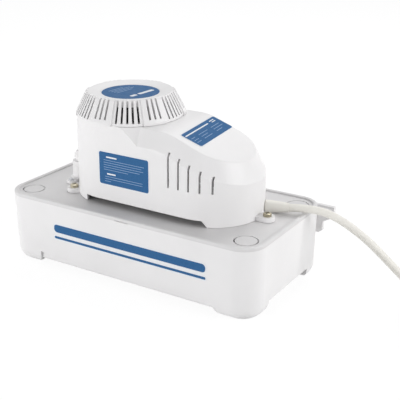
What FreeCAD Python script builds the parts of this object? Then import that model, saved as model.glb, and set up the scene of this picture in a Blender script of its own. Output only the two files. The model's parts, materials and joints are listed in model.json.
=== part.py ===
import FreeCAD, Part
import math
import os
import Sketcher

from FreeCAD import Placement, Rotation, Vector

# A condensate tank pump: tank, lid, motor under a vented hood, pump, float, switches, valve and cord.
# Millimetres, +Z up, origin on the floor under the middle of the tank, -Y is the labelled front.

SIZES = {
    "tank_length": 280.0,
    "tank_width": 142.0,
    "tank_corner": 22.0,
    "tank_draft": 1.0,
    "tank_wall": 2.6,
    "tank_floor": 2.6,
    "tank_inner_round": 3.0,
    "rim_height": 69.0,
    "foot_height": 7.0,
    "foot_length": 41.0,
    "foot_width": 32.5,
    "foot_round": 12.5,
    "arch_height": 15.5,
    "end_arch_height": 13.0,
    "pan_half_length": 114.0,
    "pan_half_width": 68.0,
    "pan_corner": 8.0,
    "pan_round": 3.0,
    "ear_thickness": 4.0,
    "ear_out": 11.5,
    "ear_web_out": 0.5,
    "ear_drop": 0.5,
    "ear_lug_height": 10.5,
    "ear_web_top": 16.5,
    "ear_web_low": 25.5,
    "ear_web_foot": 3.0,
    "ear_slot_in": 10.1,
    "ear_slot_drop": 4.9,
    "ear_slot_length": 10.4,
    "ear_slot_width": 4.6,
    "lid_height": 3.6,
    "lid_plate": 2.0,
    "bead_width": 4.4,
    "bead_round": 1.5,
    "skirt_gap": 0.3,
    "skirt_wall": 2.0,
    "skirt_depth": 5.0,
    "port_x": 121.0,
    "port_y": 50.0,
    "port_radius": 11.2,
    "port_cut": 1.3,
    "port_groove": 0.9,
    "port_bridge_deg": 34.0,
    "notch_x": 3.0,
    "notch_length": 15.0,
    "seat_gap": 0.3,
    "hood_half": 48.8,
    "hood_left_x": 40.5,
    "hood_nose_x": 58.0,
    "hood_height": 79.2,
    "hood_draft": 0.8,
    "hood_wall": 2.5,
    "slope_x": 31.0,
    "slope_deg": 20.3,
    "slope_blend": 60.0,
    "shoulder_in": 10.5,
    "shoulder_down": 15.0,
    "crease_round": 1.6,
    "motor_x": 35.0,
    "drum_radius": 52.4,
    "scoop_depth": 18.0,
    "scoop_spread": 12.6,
    "cap_hole": 45.0,
    "hood_slot_x": 39.5,
    "hood_slot_pitch": 10.6,
    "hood_slot_rise": 31.5,
    "hood_slot_length": 32.4,
    "hood_slot_step": 4.1,
    "hood_slot_width": 2.0,
    "skirt_cut_left": 56.0,
    "skirt_cut_right": 73.5,
    "skirt_cut_height": 6.0,
    "lug_height": 4.2,
    "nose_lug_x": 115.0,
    "side_lug_x": 82.5,
    "side_lug_y": 33.5,
    "lug_radius": 7.0,
    "cap_height": 22.2,
    "cap_base_radius": 51.4,
    "cap_band": 2.2,
    "cap_top_radius": 41.6,
    "cap_raise": 1.3,
    "cap_wall": 2.4,
    "cap_bay_deg": 26.0,
    "cap_turn_deg": 2.4,
    "cap_dish": 2.0,
    "cap_slot_width": 2.0,
    "cap_slot_deg": 6.0,
    "cap_slot_in": 40.6,
    "cap_slot_out": 51.2,
    "cap_lip": 3.5,
    "label_radius": 28.4,
    "label_recess": 0.5,
    "post_height": 13.0,
    "post_radius": 4.5,
    "bolt_x": 24.0,
    "bolt_y": 22.0,
    "bolt_radius": 1.6,
    "bracket_plate": 3.0,
    "stator_rise": 14.0,
    "stator_stack": 26.0,
    "stator_half_width": 28.0,
    "stator_left": 28.0,
    "stator_right": 60.0,
    "stator_bore": 16.1,
    "window_near": 21.0,
    "window_far": 44.0,
    "window_half": 17.0,
    "bobbin_width": 38.0,
    "bobbin_height": 48.0,
    "winding_width": 34.0,
    "winding_height": 44.0,
    "winding_round": 8.0,
    "rotor_radius": 15.6,
    "shaft_radius": 3.0,
    "shaft_low": 16.0,
    "shaft_rise": 69.5,
    "shaft_gap": 0.05,
    "bearing_radius": 7.0,
    "bearing_length": 9.0,
    "hub_wall": 2.5,
    "upper_bracket_rise": 50.0,
    "fan_rise": 58.5,
    "fan_height": 9.0,
    "fan_radius": 36.0,
    "impeller_radius": 24.0,
    "impeller_height": 6.5,
    "volute_low": 13.0,
    "inlet_plate": 2.0,
    "volute_radius": 31.0,
    "volute_wall": 3.4,
    "volute_depth": 10.0,
    "volute_roof": 2.5,
    "column_radius": 12.0,
    "column_bore": 8.5,
    "column_flange": 20.0,
    "column_screw_ring": 16.0,
    "inlet_radius": 9.0,
    "riser_x": 101.0,
    "riser_radius": 5.0,
    "riser_wall": 1.4,
    "riser_bend": 14.0,
    "valve_radius": 8.5,
    "valve_height": 15.0,
    "valve_flange_y": 17.5,
    "poppet_radius": 5.0,
    "poppet_travel": 3.0,
    "barb_radius": 4.7,
    "barb_flare": 6.3,
    "pivot_x": 28.0,
    "pivot_drop": 9.0,
    "pivot_pin_radius": 1.5,
    "float_near": 62.0,
    "float_length": 48.0,
    "float_width": 56.0,
    "float_low": 16.0,
    "float_height": 22.0,
    "arm_reach": 40.0,
    "arm_width": 8.0,
    "arm_hub": 5.0,
    "rod_x": 44.0,
    "rod_radius": 2.0,
    "rod_rise": 17.0,
    "switch_rise": 9.5,
    "switch_x": 58.0,
    "switch_length": 28.0,
    "switch_height": 16.0,
    "switch_width": 10.0,
    "switch_lift": 5.5,
    "bracket_half": 2.0,
    "lever_pivot_x": 82.0,
    "lever_drop": 3.9,
    "lever_sheet": 1.0,
    "lever_width": 6.0,
    "button_x": 70.0,
    "button_radius": 1.2,
    "exit_deg": 20.0,
    "exit_rise": 6.0,
    "relief_length": 22.0,
    "cord_radius": 3.7,
    "lead_y": 58.0,
    "lead_end": 271.0,
    "coil_x": 307.0,
    "coil_middle": 44.0,
    "coil_pitch": 7.5,
    "coil_low": 0.8,
    "plug_reach": 29.0,
}

DOC = FreeCAD.newDocument("TankPump")
SHEET = DOC.addObject("Spreadsheet::Sheet", "Sizes")
PARTS = {}


class Size(float):
    """A number that remembers the sheet formula it came from."""

    def __new__(cls, value, formula=None):
        made = float.__new__(cls, value)
        made.formula = repr(float(value)) if formula is None else formula
        return made

    def joined(self, other, sign, value, swapped=False):
        other = other if isinstance(other, Size) else Size(other)
        left, right = (other, self) if swapped else (self, other)
        return Size(value, f"({left.formula} {sign} {right.formula})")

    def __add__(self, other):
        return self.joined(other, "+", float(self) + float(other))

    def __radd__(self, other):
        return self.joined(other, "+", float(other) + float(self), True)

    def __sub__(self, other):
        return self.joined(other, "-", float(self) - float(other))

    def __rsub__(self, other):
        return self.joined(other, "-", float(other) - float(self), True)

    def __mul__(self, other):
        return self.joined(other, "*", float(self) * float(other))

    def __rmul__(self, other):
        return self.joined(other, "*", float(other) * float(self), True)

    def __truediv__(self, other):
        return self.joined(other, "/", float(self) / float(other))

    def __neg__(self):
        return Size(-float(self), f"(0 - {self.formula})")


class Sizes:
    """The driving sizes, each one a cell of the sheet."""

    def __init__(self, table):
        for row, (name, value) in enumerate(table.items(), 1):
            SHEET.set(f"A{row}", name)
            SHEET.set(f"B{row}", repr(value))
            SHEET.setAlias(f"B{row}", name)
            setattr(self, name, Size(value, f"Sizes.{name}"))


S = Sizes(SIZES)
DOC.recompute()


# Helpers that make bound objects

def tangent(angle):
    """Tangent of an angle in degrees, with its formula."""
    return Size(math.tan(math.radians(angle)), f"tan({angle.formula})")


def bind(thing, name, value):
    """Sets a property to a value, or to its formula where it comes from the sheet."""
    if "Sizes." in getattr(value, "formula", ""):
        thing.setExpression(name, value.formula)
    elif name.isalnum():
        setattr(thing, name, float(value))


def place(thing, x=0.0, y=0.0, z=0.0, turn=None):
    """Places a sub-part, each coordinate bound to its formula."""
    thing.Placement = Placement(Vector(float(x), float(y), float(z)), turn or Rotation())
    for axis, value in zip("xyz", (x, y, z)):
        bind(thing, f"Placement.Base.{axis}", value)
    return thing


def body(name):
    return DOC.addObject("PartDesign::Body", name)


def sketch_on(owner, name, role="XY_Plane", offset=0.0):
    """A sketch on one of the body's own origin planes, moved along its normal."""
    sketch = owner.newObject("Sketcher::SketchObject", name)
    plane = next(part for part in owner.Origin.OriginFeatures if part.Role == role)
    sketch.AttachmentSupport = [(plane, "")]
    sketch.MapMode = "FlatFace"
    sketch.AttachmentOffset = Placement(Vector(0, 0, float(offset)), Rotation())
    bind(sketch, "AttachmentOffset.Base.z", offset)
    return sketch


def datum(sketch, kind, value, *where):
    index = sketch.addConstraint(Sketcher.Constraint(kind, *where, float(value)))
    bind(sketch, f"Constraints[{index}]", value)


def pin_point(sketch, edge, point, x, y):
    datum(sketch, "DistanceX", x, -1, 1, edge, point)
    datum(sketch, "DistanceY", y, -1, 1, edge, point)


def outline(sketch, points):
    """A closed outline of straight edges through points whose places are bound."""
    first = sketch.GeometryCount
    count = len(points)
    for start, end in zip(points, points[1:] + points[:1]):
        sketch.addGeometry(Part.LineSegment(Vector(*map(float, start)), Vector(*map(float, end))), False)
    for index in range(count):
        following = first + (index + 1) % count
        sketch.addConstraint(Sketcher.Constraint("Coincident", first + index, 2, following, 1))
    for index, (x, y) in enumerate(points):
        pin_point(sketch, first + index, 1, x, y)


def arc(x, y, radius, start, end):
    circle = Part.Circle(Vector(float(x), float(y), 0), Vector(0, 0, 1), float(radius))
    return Part.ArcOfCircle(circle, math.radians(start), math.radians(end))


def smooth_loop(sketch, first, count):
    for index in range(count):
        following = first + (index + 1) % count
        sketch.addConstraint(Sketcher.Constraint("Tangent", first + index, 2, following, 1))


def rounded_box(sketch, length, width, radius, x=0.0, y=0.0):
    """A rectangle with four round corners about (x, y)."""
    first = sketch.GeometryCount
    dx, dy = length / 2 - radius, width / 2 - radius
    corners = [(x - dx, y - dy, 180), (x + dx, y - dy, 270), (x + dx, y + dy, 0), (x - dx, y + dy, 90)]
    for index, (cx, cy, start) in enumerate(corners):
        nx, ny, after = corners[(index + 1) % 4]
        corner = arc(cx, cy, radius, start, start + 90)
        sketch.addGeometry(corner, False)
        next_start = arc(nx, ny, radius, after, after + 90).StartPoint
        sketch.addGeometry(Part.LineSegment(corner.EndPoint, next_start), False)
    smooth_loop(sketch, first, 8)
    for index, (cx, cy, start) in enumerate(corners):
        pin_point(sketch, first + 2 * index, 3, cx, cy)
        datum(sketch, "Radius", radius, first + 2 * index)


def stadium(sketch, left, right, radius):
    """Two half discs about (left, 0) and (right, 0) joined by their tangents."""
    first = sketch.GeometryCount
    near, far = arc(left, 0, radius, 90, 270), arc(right, 0, radius, -90, 90)
    for piece in (near, Part.LineSegment(near.EndPoint, far.StartPoint), far,
                  Part.LineSegment(far.EndPoint, near.StartPoint)):
        sketch.addGeometry(piece, False)
    smooth_loop(sketch, first, 4)
    pin_point(sketch, first, 3, left, 0.0)
    pin_point(sketch, first + 2, 3, right, 0.0)
    datum(sketch, "Radius", radius, first)


def circle(sketch, radius, x=0.0, y=0.0):
    curve = Part.Circle(Vector(float(x), float(y), 0), Vector(0, 0, 1), float(radius))
    index = sketch.addGeometry(curve, False)
    pin_point(sketch, index, 3, x, y)
    datum(sketch, "Radius", radius, index)


def sector(sketch, inner, outer, start, end, x=0.0, y=0.0):
    """A piece of a ring between two angles in degrees."""
    inside, outside = arc(x, y, inner, start, end), arc(x, y, outer, start, end)
    first = sketch.GeometryCount
    for piece in (outside, Part.LineSegment(outside.EndPoint, inside.EndPoint), inside,
                  Part.LineSegment(inside.StartPoint, outside.StartPoint)):
        sketch.addGeometry(piece, False)
    for edge, radius in ((first, outer), (first + 2, inner)):
        pin_point(sketch, edge, 3, x, y)
        datum(sketch, "Radius", radius, edge)
    for pair in ((0, 2, 1, 1), (1, 2, 2, 2), (2, 1, 3, 1), (3, 2, 0, 1)):
        ends = (first + pair[0], pair[1], first + pair[2], pair[3])
        sketch.addConstraint(Sketcher.Constraint("Coincident", *ends))


def pad(owner, sketch, length, taper=0.0, reverse=False, middle=False):
    feature = owner.newObject("PartDesign::Pad", sketch.Name + "_pad")
    feature.Profile = sketch
    feature.Reversed = reverse
    feature.Midplane = middle
    bind(feature, "Length", length)
    bind(feature, "TaperAngle", taper)
    DOC.recompute()
    return feature


def pocket(owner, sketch, depth=None, reverse=False, middle=False):
    """Cuts a sketch away, to a depth or through all, and checks that it cut."""
    before = owner.Tip.Shape.Volume
    feature = owner.newObject("PartDesign::Pocket", sketch.Name + "_cut")
    feature.Profile = sketch
    feature.Reversed = reverse
    feature.Midplane = middle
    if depth is None:
        feature.Type = "ThroughAll"
    else:
        bind(feature, "Length", depth)
    DOC.recompute()
    if feature.Shape.Volume > before - 0.01:
        raise RuntimeError(f"{sketch.Name} cuts nothing")
    return feature


def revolved(name, points, role="XZ_Plane"):
    """A body turned about Z from an outline of (radius, height) points."""
    owner = body(name)
    sketch = sketch_on(owner, name + "_profile", role)
    outline(sketch, points)
    feature = owner.newObject("PartDesign::Revolution", name + "_turn")
    feature.Profile = sketch
    feature.ReferenceAxis = (sketch, ["V_Axis"])
    DOC.recompute()
    return owner


def edges_where(shape, test):
    """Names of the edges whose middle point and bounds pass a test."""
    names = []
    for index, edge in enumerate(shape.Edges, 1):
        middle = edge.valueAt((edge.FirstParameter + edge.LastParameter) / 2)
        if test(middle, edge.BoundBox):
            names.append(f"Edge{index}")
    return names


def fillet(owner, radius, test):
    base = owner.Tip
    feature = owner.newObject("PartDesign::Fillet", owner.Name + "_round")
    feature.Base = (base, edges_where(base.Shape, test))
    bind(feature, "Radius", radius)
    DOC.recompute()
    return feature


def spread(owner, features, count):
    """Repeats features evenly about the body's own Z axis."""
    axis = next(part for part in owner.Origin.OriginFeatures if part.Role == "Z_Axis")
    pattern = owner.newObject("PartDesign::PolarPattern", owner.Name + "_ring")
    pattern.Originals = features
    pattern.Axis = (axis, [""])
    pattern.Angle = 360
    pattern.Occurrences = count
    owner.Tip = pattern
    DOC.recompute()
    return pattern


def box(name, length, width, height, x, y, z):
    """A box with its low corner at (x, y, z)."""
    thing = DOC.addObject("Part::Box", name)
    bind(thing, "Length", length)
    bind(thing, "Width", width)
    bind(thing, "Height", height)
    return place(thing, x, y, z)


def cylinder(name, radius, height, x=0.0, y=0.0, z=0.0, turn=None):
    thing = DOC.addObject("Part::Cylinder", name)
    bind(thing, "Radius", radius)
    bind(thing, "Height", height)
    return place(thing, x, y, z, turn)


def cone(name, low_radius, high_radius, height, x=0.0, y=0.0, z=0.0, turn=None):
    thing = DOC.addObject("Part::Cone", name)
    bind(thing, "Radius1", low_radius)
    bind(thing, "Radius2", high_radius)
    bind(thing, "Height", height)
    return place(thing, x, y, z, turn)


def fuse(name, pieces):
    thing = DOC.addObject("Part::MultiFuse", name)
    thing.Shapes = pieces
    DOC.recompute()
    return thing


def cut(name, base, tools):
    """Cuts tools from a base and checks that they cut."""
    tool = tools[0] if len(tools) == 1 else fuse(name + "_tools", tools)
    thing = DOC.addObject("Part::Cut", name)
    thing.Base = base
    thing.Tool = tool
    DOC.recompute()
    if thing.Shape.Volume > base.Shape.Volume - 0.01:
        raise RuntimeError(f"{name} cuts nothing")
    return thing


def common(name, pieces):
    thing = DOC.addObject("Part::MultiCommon", name)
    thing.Shapes = pieces
    DOC.recompute()
    return thing


def group(name, pieces):
    """Identical separate solids under one name."""
    thing = DOC.addObject("Part::Compound", name)
    thing.Links = pieces
    DOC.recompute()
    return thing


def sub_part(name, thing):
    """Names the finished sub-part, whose label is its file's name."""
    thing.Label = name
    PARTS[name] = thing
    return thing


ALONG_X = Rotation(Vector(0, 1, 0), 90)
ALONG_Y = Rotation(Vector(1, 0, 0), -90)


def around_z(angle):
    return Rotation(Vector(0, 0, 1), angle)


# Heights and places that several pieces share
LID_TOP = S.rim_height + S.lid_plate
BEAD_TOP = S.rim_height + S.lid_height
HOOD_BASE = LID_TOP + S.seat_gap
HOOD_TOP = HOOD_BASE + S.hood_height
HOOD_SLOT_LOW = HOOD_BASE + S.hood_slot_rise
HOOD_SLOT_HIGH = HOOD_SLOT_LOW + S.hood_slot_length
SKIRT_CUT_Z = HOOD_BASE + S.skirt_cut_height
POST_TOP = LID_TOP + S.post_height
STATOR_LOW = POST_TOP + S.stator_rise
UPPER_BRACKET_Z = POST_TOP + S.upper_bracket_rise
FAN_Z = POST_TOP + S.fan_rise
SHAFT_TOP = POST_TOP + S.shaft_rise
EXIT_Z = HOOD_BASE + S.exit_rise
ROD_TOP = LID_TOP + S.rod_rise
SWITCH_LOW = ROD_TOP + S.switch_rise
PIVOT_Z = S.rim_height - S.pivot_drop
MOTOR_X = -S.motor_x
RISER_X = -S.riser_x
TANK_FLOOR = S.foot_height + S.tank_floor
IMPELLER_Z = S.volute_low + S.inlet_plate + 1.0
VOLUTE_TOP = S.volute_low + S.inlet_plate + S.volute_depth + S.volute_roof
OUTLET_Z = S.volute_low + S.inlet_plate + S.volute_depth / 2
COIL_Y = S.lead_y - S.coil_middle - S.coil_pitch
PLUG_MOUTH = (S.coil_x + S.coil_middle + S.coil_pitch, COIL_Y - S.plug_reach, S.coil_low + 1.5 * S.coil_pitch)


# Tank

def tank_form(name, low, inset, rounding):
    """The drafted outer form of the tank, or its inside where inset is the wall."""
    owner = body(name)
    plan = sketch_on(owner, name + "_plan", offset=low)
    drawn_in = 2 * inset + 2 * (S.rim_height - low) * tangent(S.tank_draft)
    corner = S.tank_corner - inset - (S.rim_height - low) * tangent(S.tank_draft)
    rounded_box(plan, S.tank_length - drawn_in, S.tank_width - drawn_in, corner)
    pad(owner, plan, S.rim_height - low, taper=S.tank_draft)
    fillet(owner, rounding, lambda middle, bounds: bounds.ZMax < low + 0.1)
    return owner


def tank_arch(owner, name, role, half, height):
    """Cuts an arch right through between two feet: a flat roof, and sides that round out to the floor."""
    arch = sketch_on(owner, name, role)
    radius, centre = float(S.foot_round), float(half + S.foot_round)
    foot_side = arc(centre, radius, radius, 180, 270)
    other_side = arc(-centre, radius, radius, 270, 360)
    corners = [Vector(side * float(half), float(height), 0) for side in (-1, 1)]
    roof = [other_side.EndPoint] + corners + [foot_side.StartPoint]
    below = [foot_side.EndPoint, Vector(centre, -1, 0), Vector(-centre, -1, 0), other_side.StartPoint]
    for curve in (foot_side, other_side):
        arch.addGeometry(curve, False)
    for line in (roof, below):
        for first, second in zip(line, line[1:]):
            arch.addGeometry(Part.LineSegment(first, second), False)
    for index in (0, 1):
        datum(arch, "Radius", S.foot_round, index)
    return pocket(owner, arch, middle=True)


def tank_walls():
    """The drafted outer form on four rounded feet, with an arch through it each way."""
    owner = tank_form("tank_walls", 0.0, 0.0, S.foot_round)
    tank_arch(owner, "front_arch", "XZ_Plane", S.tank_length / 2 - S.foot_length, S.arch_height)
    tank_arch(owner, "end_arch", "YZ_Plane", S.tank_width / 2 - S.foot_width, S.end_arch_height)
    return owner


def tank_room(name, half_length, half_width, corner, low, high, rounding):
    """A block with a rounded plan and bottom: the pan between the feet, or a room inside."""
    owner = body(name)
    plan = sketch_on(owner, name + "_plan", offset=low)
    rounded_box(plan, 2 * half_length, 2 * half_width, corner)
    pad(owner, plan, high - low)
    fillet(owner, rounding, lambda middle, bounds: bounds.ZMax < low + 0.1)
    return owner


def ear(name, side):
    """A wall-hanging ear on the back plane, out past the tank's end, with a slot for a screw."""
    owner = body(name)
    back, end = S.tank_width / 2, S.tank_length / 2
    plate = sketch_on(owner, name + "_plate", "XZ_Plane", offset=-back)
    root, tip, web = end - S.tank_corner - 4, end + S.ear_out, end + S.ear_web_out
    top = S.rim_height - S.ear_drop
    web_low = top - S.ear_web_low
    outline(plate, [(side * root, top), (side * tip, top), (side * tip, top - S.ear_lug_height),
                    (side * web, top - S.ear_web_top), (side * web, web_low),
                    (side * (web - 4), web_low - S.ear_web_foot), (side * root, web_low - S.ear_web_foot)])
    pad(owner, plate, S.ear_thickness)
    slot = sketch_on(owner, name + "_slot", "XZ_Plane", offset=-back)
    rounded_box(slot, S.ear_slot_length, S.ear_slot_width, S.ear_slot_width / 2 - 0.01,
                side * (tip - S.ear_slot_in), top - S.ear_slot_drop)
    pocket(owner, slot, middle=True)
    return owner


def tank():
    """Drafted walls, a pan between the feet and a floor that steps up over the feet and end arches."""
    end_floor = S.end_arch_height + S.tank_wall
    step = S.arch_height + S.tank_wall
    room_half = S.pan_half_width - S.tank_wall
    end_half = S.tank_length / 2 - S.tank_wall - (S.rim_height - end_floor) * tangent(S.tank_draft)
    pan = tank_room("tank_pan", S.pan_half_length, S.pan_half_width, S.pan_corner, S.foot_height, step,
                    S.pan_round)
    outside = fuse("tank_outside", [tank_walls(), pan, ear("right_ear", 1), ear("left_ear", -1)])
    inside = [tank_form("tank_inside", step, S.tank_wall, S.tank_inner_round),
              tank_room("end_rooms", end_half, room_half, S.tank_corner - 2 * S.tank_wall, end_floor,
                        step + 4, S.tank_inner_round),
              tank_room("pan_inside", S.pan_half_length - S.tank_wall, room_half, S.pan_corner - S.tank_wall,
                        TANK_FLOOR, end_floor + 4, S.tank_inner_round)]
    return sub_part("tank", cut("tank_whole", outside, inside))


# Lid

def lid_holes():
    """Places of the round holes through the lid: radius, x, y."""
    holes = [(S.shaft_radius + 2, MOTOR_X, 0.0), (S.riser_radius + S.seat_gap, RISER_X, 0.0),
             (S.rod_radius + S.seat_gap, S.rod_x, 0.0)]
    for angle in (90, 210, 330):
        turn = math.radians(angle)
        holes.append((S.bolt_radius, MOTOR_X + S.column_screw_ring * math.cos(turn),
                      S.column_screw_ring * math.sin(turn)))
    return holes


def lid():
    owner = body("lid_form")
    plan = sketch_on(owner, "lid_plan", offset=S.rim_height)
    rounded_box(plan, S.tank_length, S.tank_width, S.tank_corner)
    pad(owner, plan, S.lid_height)
    recess = sketch_on(owner, "lid_recess", offset=BEAD_TOP)
    rounded_box(recess, S.tank_length - 2 * S.bead_width, S.tank_width - 2 * S.bead_width,
                S.tank_corner - S.bead_width)
    pocket(owner, recess, S.lid_height - S.lid_plate)
    fillet(owner, S.bead_round, lambda middle, bounds: bounds.ZMin > BEAD_TOP - 0.1)
    skirt = sketch_on(owner, "lid_skirt", offset=S.rim_height)
    for inset in (S.tank_wall + S.skirt_gap, S.tank_wall + S.skirt_gap + S.skirt_wall):
        rounded_box(skirt, S.tank_length - 2 * inset, S.tank_width - 2 * inset, S.tank_corner - inset)
    pad(owner, skirt, S.skirt_depth, reverse=True)
    posts = sketch_on(owner, "motor_posts", offset=S.rim_height)
    for x in (-S.bolt_x, S.bolt_x):
        for y in (-S.bolt_y, S.bolt_y):
            circle(posts, S.post_radius, MOTOR_X + x, y)
    pad(owner, posts, POST_TOP - S.rim_height)
    guide = sketch_on(owner, "rod_guide", offset=S.rim_height)
    circle(guide, S.rod_radius + 3, S.rod_x)
    pad(owner, guide, S.lid_height + 5)
    grooves = sketch_on(owner, "port_grooves", offset=LID_TOP)
    slits = sketch_on(owner, "port_slits", offset=LID_TOP)
    for x in (-S.port_x, S.port_x):
        for y in (-S.port_y, S.port_y):
            circle(grooves, S.port_radius, x, y)
            circle(grooves, S.port_radius - S.port_cut, x, y)
            for middle in (0, 180):
                start = middle - S.port_bridge_deg
                sector(slits, S.port_radius - S.port_cut, S.port_radius, start,
                       middle + S.port_bridge_deg, x, y)
    pocket(owner, grooves, S.port_groove)
    pocket(owner, slits)
    holes = sketch_on(owner, "lid_holes", offset=POST_TOP + 1)
    for radius, x, y in lid_holes():
        circle(holes, radius, x, y)
    pocket(owner, holes)
    bolts = sketch_on(owner, "post_holes", offset=POST_TOP)
    for x in (-S.bolt_x, S.bolt_x):
        for y in (-S.bolt_y, S.bolt_y):
            circle(bolts, S.bolt_radius, MOTOR_X + x, y)
    pocket(owner, bolts, POST_TOP - LID_TOP)
    notch = sketch_on(owner, "snap_notch", "XZ_Plane", offset=S.tank_width / 2)
    rounded_box(notch, S.notch_length, S.lid_height / 2, 0.6, S.notch_x, S.rim_height)
    pocket(owner, notch, 1.2)
    return sub_part("lid", owner)


# Hood

def hood_walls(name, inset):
    """The hood's straight walls, from below its base to its flat top."""
    owner = body(name)
    low = HOOD_BASE - (2.0 if inset else 0.0)
    plan = sketch_on(owner, name + "_plan", offset=low)
    stadium(plan, -S.hood_left_x, S.hood_nose_x, S.hood_half - inset)
    pad(owner, plan, HOOD_TOP - inset - low, taper=-S.hood_draft)
    return owner


def hood_shoulders(name, inset):
    """The walls again, cut by the nose's slope and stepped in along the top."""
    owner = hood_walls(name, inset)
    top = HOOD_TOP - inset
    bend = math.radians(S.slope_deg)
    reach = S.slope_blend * math.tan(bend / 2)
    start = Vector(S.slope_x - reach, top, 0)
    middle = Vector(start.x + S.slope_blend * math.sin(bend / 2),
                    top - S.slope_blend * (1 - math.cos(bend / 2)), 0)
    end = Vector(S.slope_x + reach * math.cos(bend), top - reach * math.sin(bend), 0)
    far = S.hood_nose_x + 2 * S.hood_half
    foot = Vector(far, top - (far - S.slope_x) * math.tan(bend), 0)
    above = [Vector(far, top + 10, 0), Vector(start.x, top + 10, 0)]
    profile = sketch_on(owner, name + "_slope", "XZ_Plane")
    profile.addGeometry(Part.Arc(start, middle, end), False)
    corners = [end, foot] + above + [start]
    for first, second in zip(corners, corners[1:]):
        profile.addGeometry(Part.LineSegment(first, second), False)
    DOC.recompute()
    cut_feature = pocket(owner, profile, middle=True)
    low = HOOD_BASE + S.shoulder_down
    rim = edges_where(cut_feature.Shape, lambda point, bounds: bounds.ZMin > low
                      and math.hypot(point.y, max(0, point.x - S.hood_nose_x)) > S.hood_half * 0.8)
    left = edges_where(cut_feature.Shape, lambda point, bounds: bounds.ZMin > low
                       and point.x < -S.hood_left_x - S.hood_half * 0.5)
    chamfer = owner.newObject("PartDesign::Chamfer", name + "_step")
    chamfer.Base = (cut_feature, sorted(set(rim + left)))
    chamfer.ChamferType = "Two distances"
    chamfer.FlipDirection = True
    bind(chamfer, "Size", S.shoulder_in)
    bind(chamfer, "Size2", S.shoulder_down)
    DOC.recompute()
    if not inset:
        fillet(owner, S.crease_round, lambda point, bounds: bounds.ZMin > low + 2 and
               (bounds.XLength > 3 or bounds.YLength > 12) and point.x > S.slope_x - 90)
    return owner


def hood_drum(name, inset):
    """The round motor end, upright to the top, scooped out of the shoulders by a cone about the motor."""
    radius = S.drum_radius - inset
    top = HOOD_TOP - inset
    walls = hood_walls(name + "_walls", inset)
    left = box(name + "_left", S.hood_half * 2, S.hood_half * 3, top, MOTOR_X - S.hood_half * 2,
               S.hood_half * -1.5, 0.0)
    scoop = cone(name + "_scoop", radius + S.scoop_spread, radius, S.scoop_depth, MOTOR_X, 0.0,
                 top - S.scoop_depth)
    return common(name, [walls, fuse(name + "_reach", [left, scoop])])


def hood_lug(name, x, y):
    """A screw lug, round outside and run square into the wall."""
    centre_x = S.hood_nose_x if x > 0 else -S.hood_left_x
    away = math.hypot(float(centre_x - x), float(y))
    reach = away - (S.hood_half - S.hood_wall / 2)
    owner = body(name)
    plan = sketch_on(owner, name + "_plan")
    tip = arc(0, 0, S.lug_radius, 90, 270)
    plan.addGeometry(tip, False)
    corners = [tip.EndPoint, Vector(float(reach), -float(S.lug_radius), 0),
               Vector(float(reach), float(S.lug_radius), 0), tip.StartPoint]
    for first, second in zip(corners, corners[1:]):
        plan.addGeometry(Part.LineSegment(first, second), False)
    datum(plan, "Radius", S.lug_radius, 0)
    pad(owner, plan, S.lug_height)
    inward = math.degrees(math.atan2(-float(y), float(centre_x - x)))
    return place(owner, x, y, HOOD_BASE, around_z(inward))


def hood():
    outside = fuse("hood_outside", [hood_shoulders("hood_outer", 0.0), hood_drum("drum_outer", 0.0)])
    inside = fuse("hood_inside", [hood_shoulders("hood_inner", S.hood_wall),
                                  hood_drum("drum_inner", S.hood_wall)])
    shell = cut("hood_shell", outside, [inside])
    lugs = [hood_lug(f"hood_lug_{index}", x, y) for index, (x, y) in enumerate(hood_lugs())]
    tools = [cylinder("cap_opening", S.cap_hole, 20.0, MOTOR_X, 0.0, HOOD_TOP - 10)]
    for index, (x, y) in enumerate(hood_lugs()):
        tools.append(cylinder(f"lug_hole_{index}", 2.2, 20.0, x, y, HOOD_BASE - 5))
    for index in range(5):
        high = HOOD_SLOT_HIGH - index * S.hood_slot_step
        for side in (-1, 1):
            tools.append(box(f"hood_slot_{index}_{side + 1}", S.hood_slot_width, 30.0, high - HOOD_SLOT_LOW,
                             S.hood_slot_x + index * S.hood_slot_pitch - S.hood_slot_width / 2,
                             -58.0 if side < 0 else 28.0, HOOD_SLOT_LOW))
    skirt = body("skirt_cut")
    profile = sketch_on(skirt, "skirt_profile", "XZ_Plane")
    outline(profile, [(-S.skirt_cut_left, SKIRT_CUT_Z), (-S.skirt_cut_left, HOOD_BASE - 3),
                      (S.skirt_cut_right + 7, HOOD_BASE - 3), (S.skirt_cut_right, SKIRT_CUT_Z)])
    pad(skirt, profile, 4 * S.hood_half, middle=True)
    tools.append(skirt)
    exit_hole = cylinder("exit_hole", 5.3, S.hood_half * 2)
    exit_hole.Placement = Placement(Vector(float(S.hood_nose_x), 0, float(EXIT_Z)),
                                    Rotation(Vector(0, 0, 1), Vector(*exit_direction())))
    tools.append(exit_hole)
    return sub_part("hood", cut("hood_whole", fuse("hood_lugged", [shell] + lugs), tools))


def hood_lugs():
    return [(S.nose_lug_x, 0.0), (-S.side_lug_x, -S.side_lug_y), (-S.side_lug_x, S.side_lug_y)]


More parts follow.
